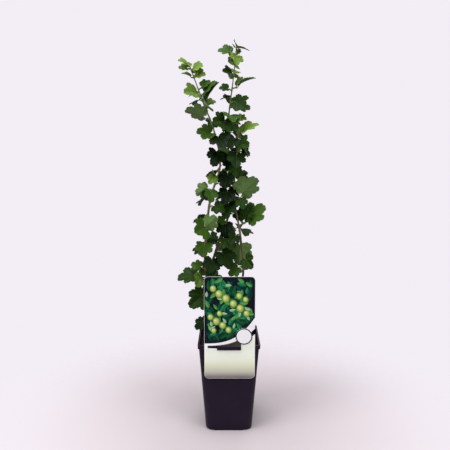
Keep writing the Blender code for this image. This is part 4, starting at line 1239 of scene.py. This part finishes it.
def reachAt(angle, outline):
    angle = abs(angle)
    for i in range(len(outline) - 1):
        (a, low), (b, high) = outline[i], outline[i + 1]
        if angle <= b:
            share = (angle - a) / (b - a)
            before = outline[i - 1] if i else (-outline[1][0], outline[1][1])
            after = outline[i + 2] if i + 2 < len(outline) else (2 * b - a, high)
            first = (high - before[1]) / (b - before[0]) * (b - a)
            second = (after[1] - low) / (after[0] - a) * (b - a)
            return (low * (2 * share ** 3 - 3 * share ** 2 + 1) + high * (3 * share ** 2 - 2 * share ** 3)
                    + first * (share ** 3 - 2 * share ** 2 + share) + second * (share ** 3 - share ** 2))
    return outline[-1][1]


def halfColumns(outline, steps=240):
    # angles spaced evenly along the margin, with the length share that each has reached
    fine = [180 * i / steps for i in range(steps + 1)]
    points = [Vector(polar(a)) * reachAt(a, outline) for a in fine]
    lengths = [0.0]
    for a, b in zip(points, points[1:]):
        lengths.append(lengths[-1] + (b - a).length)
    columns, index = [], 0
    for step in range(blade["columns"] + 1):
        wanted = lengths[-1] * step / blade["columns"]
        while index < len(lengths) - 2 and lengths[index + 1] < wanted:
            index += 1
        share = (wanted - lengths[index]) / (lengths[index + 1] - lengths[index])
        columns.append((mix(fine[index], fine[index + 1], share), step / blade["columns"]))
    return columns


def bladeColumns(gains):
    # angle, margin share, the vein's angle and side or None, and the outline of the column's half
    columns, (low, high) = [], blade["lobed"]
    for side, gain in zip((-1, 1), gains):
        outline = [(a, r * (gain if low < a < high else 1)) for a, r in blade["outline"]]
        for angle, share in halfColumns(outline):
            if angle < 179.5 and all(abs(angle - vein) > blade["veinGap"] for vein in blade["veins"]):
                columns.append((side * angle, share, None, outline))
        for vein in blade["veins"]:
            if vein or side > 0:
                for edge in (-1, 1):
                    columns.append((side * vein + edge * blade["veinHalf"], -1, (side * vein, edge), outline))
    columns.sort(key=lambda column: column[0])
    return [(-179.9, 1.0, None, columns[0][3])] + columns


def growBlade(base, axes, size, dice, store, shade):
    along, across, face = axes
    columns = bladeColumns([1 + dice.uniform(-blade["lobeGain"], blade["lobeGain"]) for _ in range(2)])
    teeth = blade["teeth"] if size > blade["smallSize"] else blade["smallTeeth"]
    wavePhase, waveTurns = dice.uniform(0, math.tau), dice.choice(blade["waves"])
    curlGain, twist = dice.uniform(*blade["curls"]), dice.uniform(-blade["twist"], blade["twist"])
    count, rings = len(columns), blade["rings"]
    verts, slots, faces = store
    start = len(verts)
    marks = [*blade["veins"], blade["lastMark"]]

    def lift(u, v, angle, share):
        soft = blade["softFold"] * size
        rise = leafRule["fold"] * (math.sqrt(v * v + soft * soft) - soft)
        rise -= leafRule["curl"] * curlGain * u * abs(u) / size
        spot = abs(angle)
        for low, high in zip(marks, marks[1:]):
            if low <= spot <= high:
                rise += blade["pillow"] * size * math.sin(math.pi * (spot - low) / (high - low)) * share
        rise += blade["wave"] * size * share * share * math.sin(waveTurns * math.radians(angle) + wavePhase)
        return rise + twist * u * v / size - blade["hang"] * size * share ** 6

    for level, share in enumerate(rings):
        half = blade["thickness"] / 2 * (1 - share ** 5)
        for angle, margin, vein, outline in columns:
            reach = reachAt(angle, outline)
            if vein:
                (c, s), ridge = polar(vein[0]), blade["thickness"] * blade["ridge"] * (1 - share)
                width = min(blade["veinWidth"] * size * mix(1.0, blade["veinTaper"], share),
                            share * reach * size * blade["veinShare"])
                u = c * share * reach * size - s * width / 2 * vein[1]
                v = s * share * reach * size + c * width / 2 * vein[1]
            else:
                tooth, ridge = (margin * teeth + 0.5) % 1, 0.0
                bulge = math.sqrt(max(0.0, 1 - (2 * tooth - 1) ** 2)) - blade["toothMiddle"]
                deep = blade["toothDepth"] / max(reach, 0.3) * share ** blade["toothStart"]
                u, v = polar(angle, share * size * reach * (1 + bulge * deep))
            height = lift(u, v, angle, share)
            place = base + along * u + across * v
            if level < len(rings) - 1:
                verts.append(place + face * (height + half - ridge * blade["upperRidge"]))
                verts.append(place + face * (height - half - ridge))
            else:
                verts.append(place + face * height)
    for vein in sorted({side * vein for vein in blade["veins"] for side in (-1, 1)}):
        for first, last, turn in blade["sideVeins"]:
            for sway in (-1, 1):
                growSideVein(base, axes, size, lift, store, vein, vein + sway * turn, first, last)
    top, low = len(verts), len(verts) + 1
    verts += [base + face * blade["thickness"] / 2, base - face * blade["thickness"] / 2]

    def corner(level, column, under):
        if level < len(rings) - 1:
            return start + (level * count + column) * 2 + under
        return start + (len(rings) - 1) * count * 2 + column

    for i in range(count):
        j = (i + 1) % count
        rib = bool(columns[i][2] and columns[j][2] and columns[i][2][0] == columns[j][2][0])
        for under, hub in ((0, top), (1, low)):
            row = [(hub, corner(0, i, under), corner(0, j, under))]
            row += [(corner(level, i, under), corner(level + 1, i, under), corner(level + 1, j, under),
                     corner(level, j, under)) for level in range(len(rings) - 1)]
            faces.extend(one if under else one[::-1] for one in row)
            slots.extend([3 if rib else (2 if under else shade)] * len(row))


def growSideVein(base, axes, size, lift, store, start, end, first, last):
    # a slim three-sided rib on the upper face that starts in a main vein and runs out to a point
    along, across, face = axes
    verts, slots, faces = store
    outline, path = blade["outline"], []
    for step in range(blade["sideSteps"] + 1):
        share = step / blade["sideSteps"]
        angle, far = mix(start, end, share ** blade["sideBend"]), mix(first, last, share)
        reach = far * size * min(reachAt(angle, outline), reachAt(start, outline) * blade["sideReach"])
        u, v = polar(angle, reach)
        height = lift(u, v, angle, min(1.0, reach / (size * reachAt(angle, outline))))
        path.append(base + along * u + across * v + face * (height + blade["thickness"] / 2))
    count, rise, last = len(verts), face * blade["sideRise"], len(path) - 1
    for i in range(last):
        slim = 1 - blade["sideTaper"] * i / last
        beside = face.cross(path[i + 1] - path[max(i - 1, 0)]).normalized() * blade["sideWidth"] / 2 * slim
        verts += [path[i] - beside - rise, path[i] + rise * slim, path[i] + beside - rise]
    verts.append(path[-1] - rise)
    rows = [range(count + 3 * i, count + 3 * i + 3) for i in range(last)]
    made = [tuple(rows[0])]
    for i in range(3):
        j = (i + 1) % 3
        made += [(low[j], low[i], high[i], high[j]) for low, high in zip(rows, rows[1:])]
        made.append((rows[-1][j], rows[-1][i], count + 3 * last))
    faces.extend(made)
    slots.extend([3] * len(made))


def makeBlades():
    dice = random.Random(blade["seed"])
    stores = {tone: ([], [], []) for tone in tones}
    carried, seen = {tone: [] for tone in tones}, set()
    for name, bud, way, leaf, tone in placedLeaves:
        _, base, axes = stalkLine(bud, way, leaf)
        growBlade(base, axes, leaf[3], dice, stores[tone], dice.randrange(2))
        if name in foliage and name not in seen:
            seen.add(name)
            carried[tone].append(name)
    for tone, (name, *colours) in tones.items():
        verts, slots, faces = stores[tone]
        finishes = [makeFinish(name + part, {**leafFinish, **twoTones(colour, dark), "rough": rough})
                    for (part, dark, rough), colour in zip(bladeParts, colours)]
        piece = addPiece(name, meshFrom(verts, faces, slots), *finishes)
        sharpenEdges(piece, blade["crease"])     # the margin, where both faces meet
        declare(piece, "leaf", *carried[tone])
        print(name, len(piece.data.polygons), "faces,", len(carried[tone]), "masses")


makeBlades()

print("everything rides on the root")
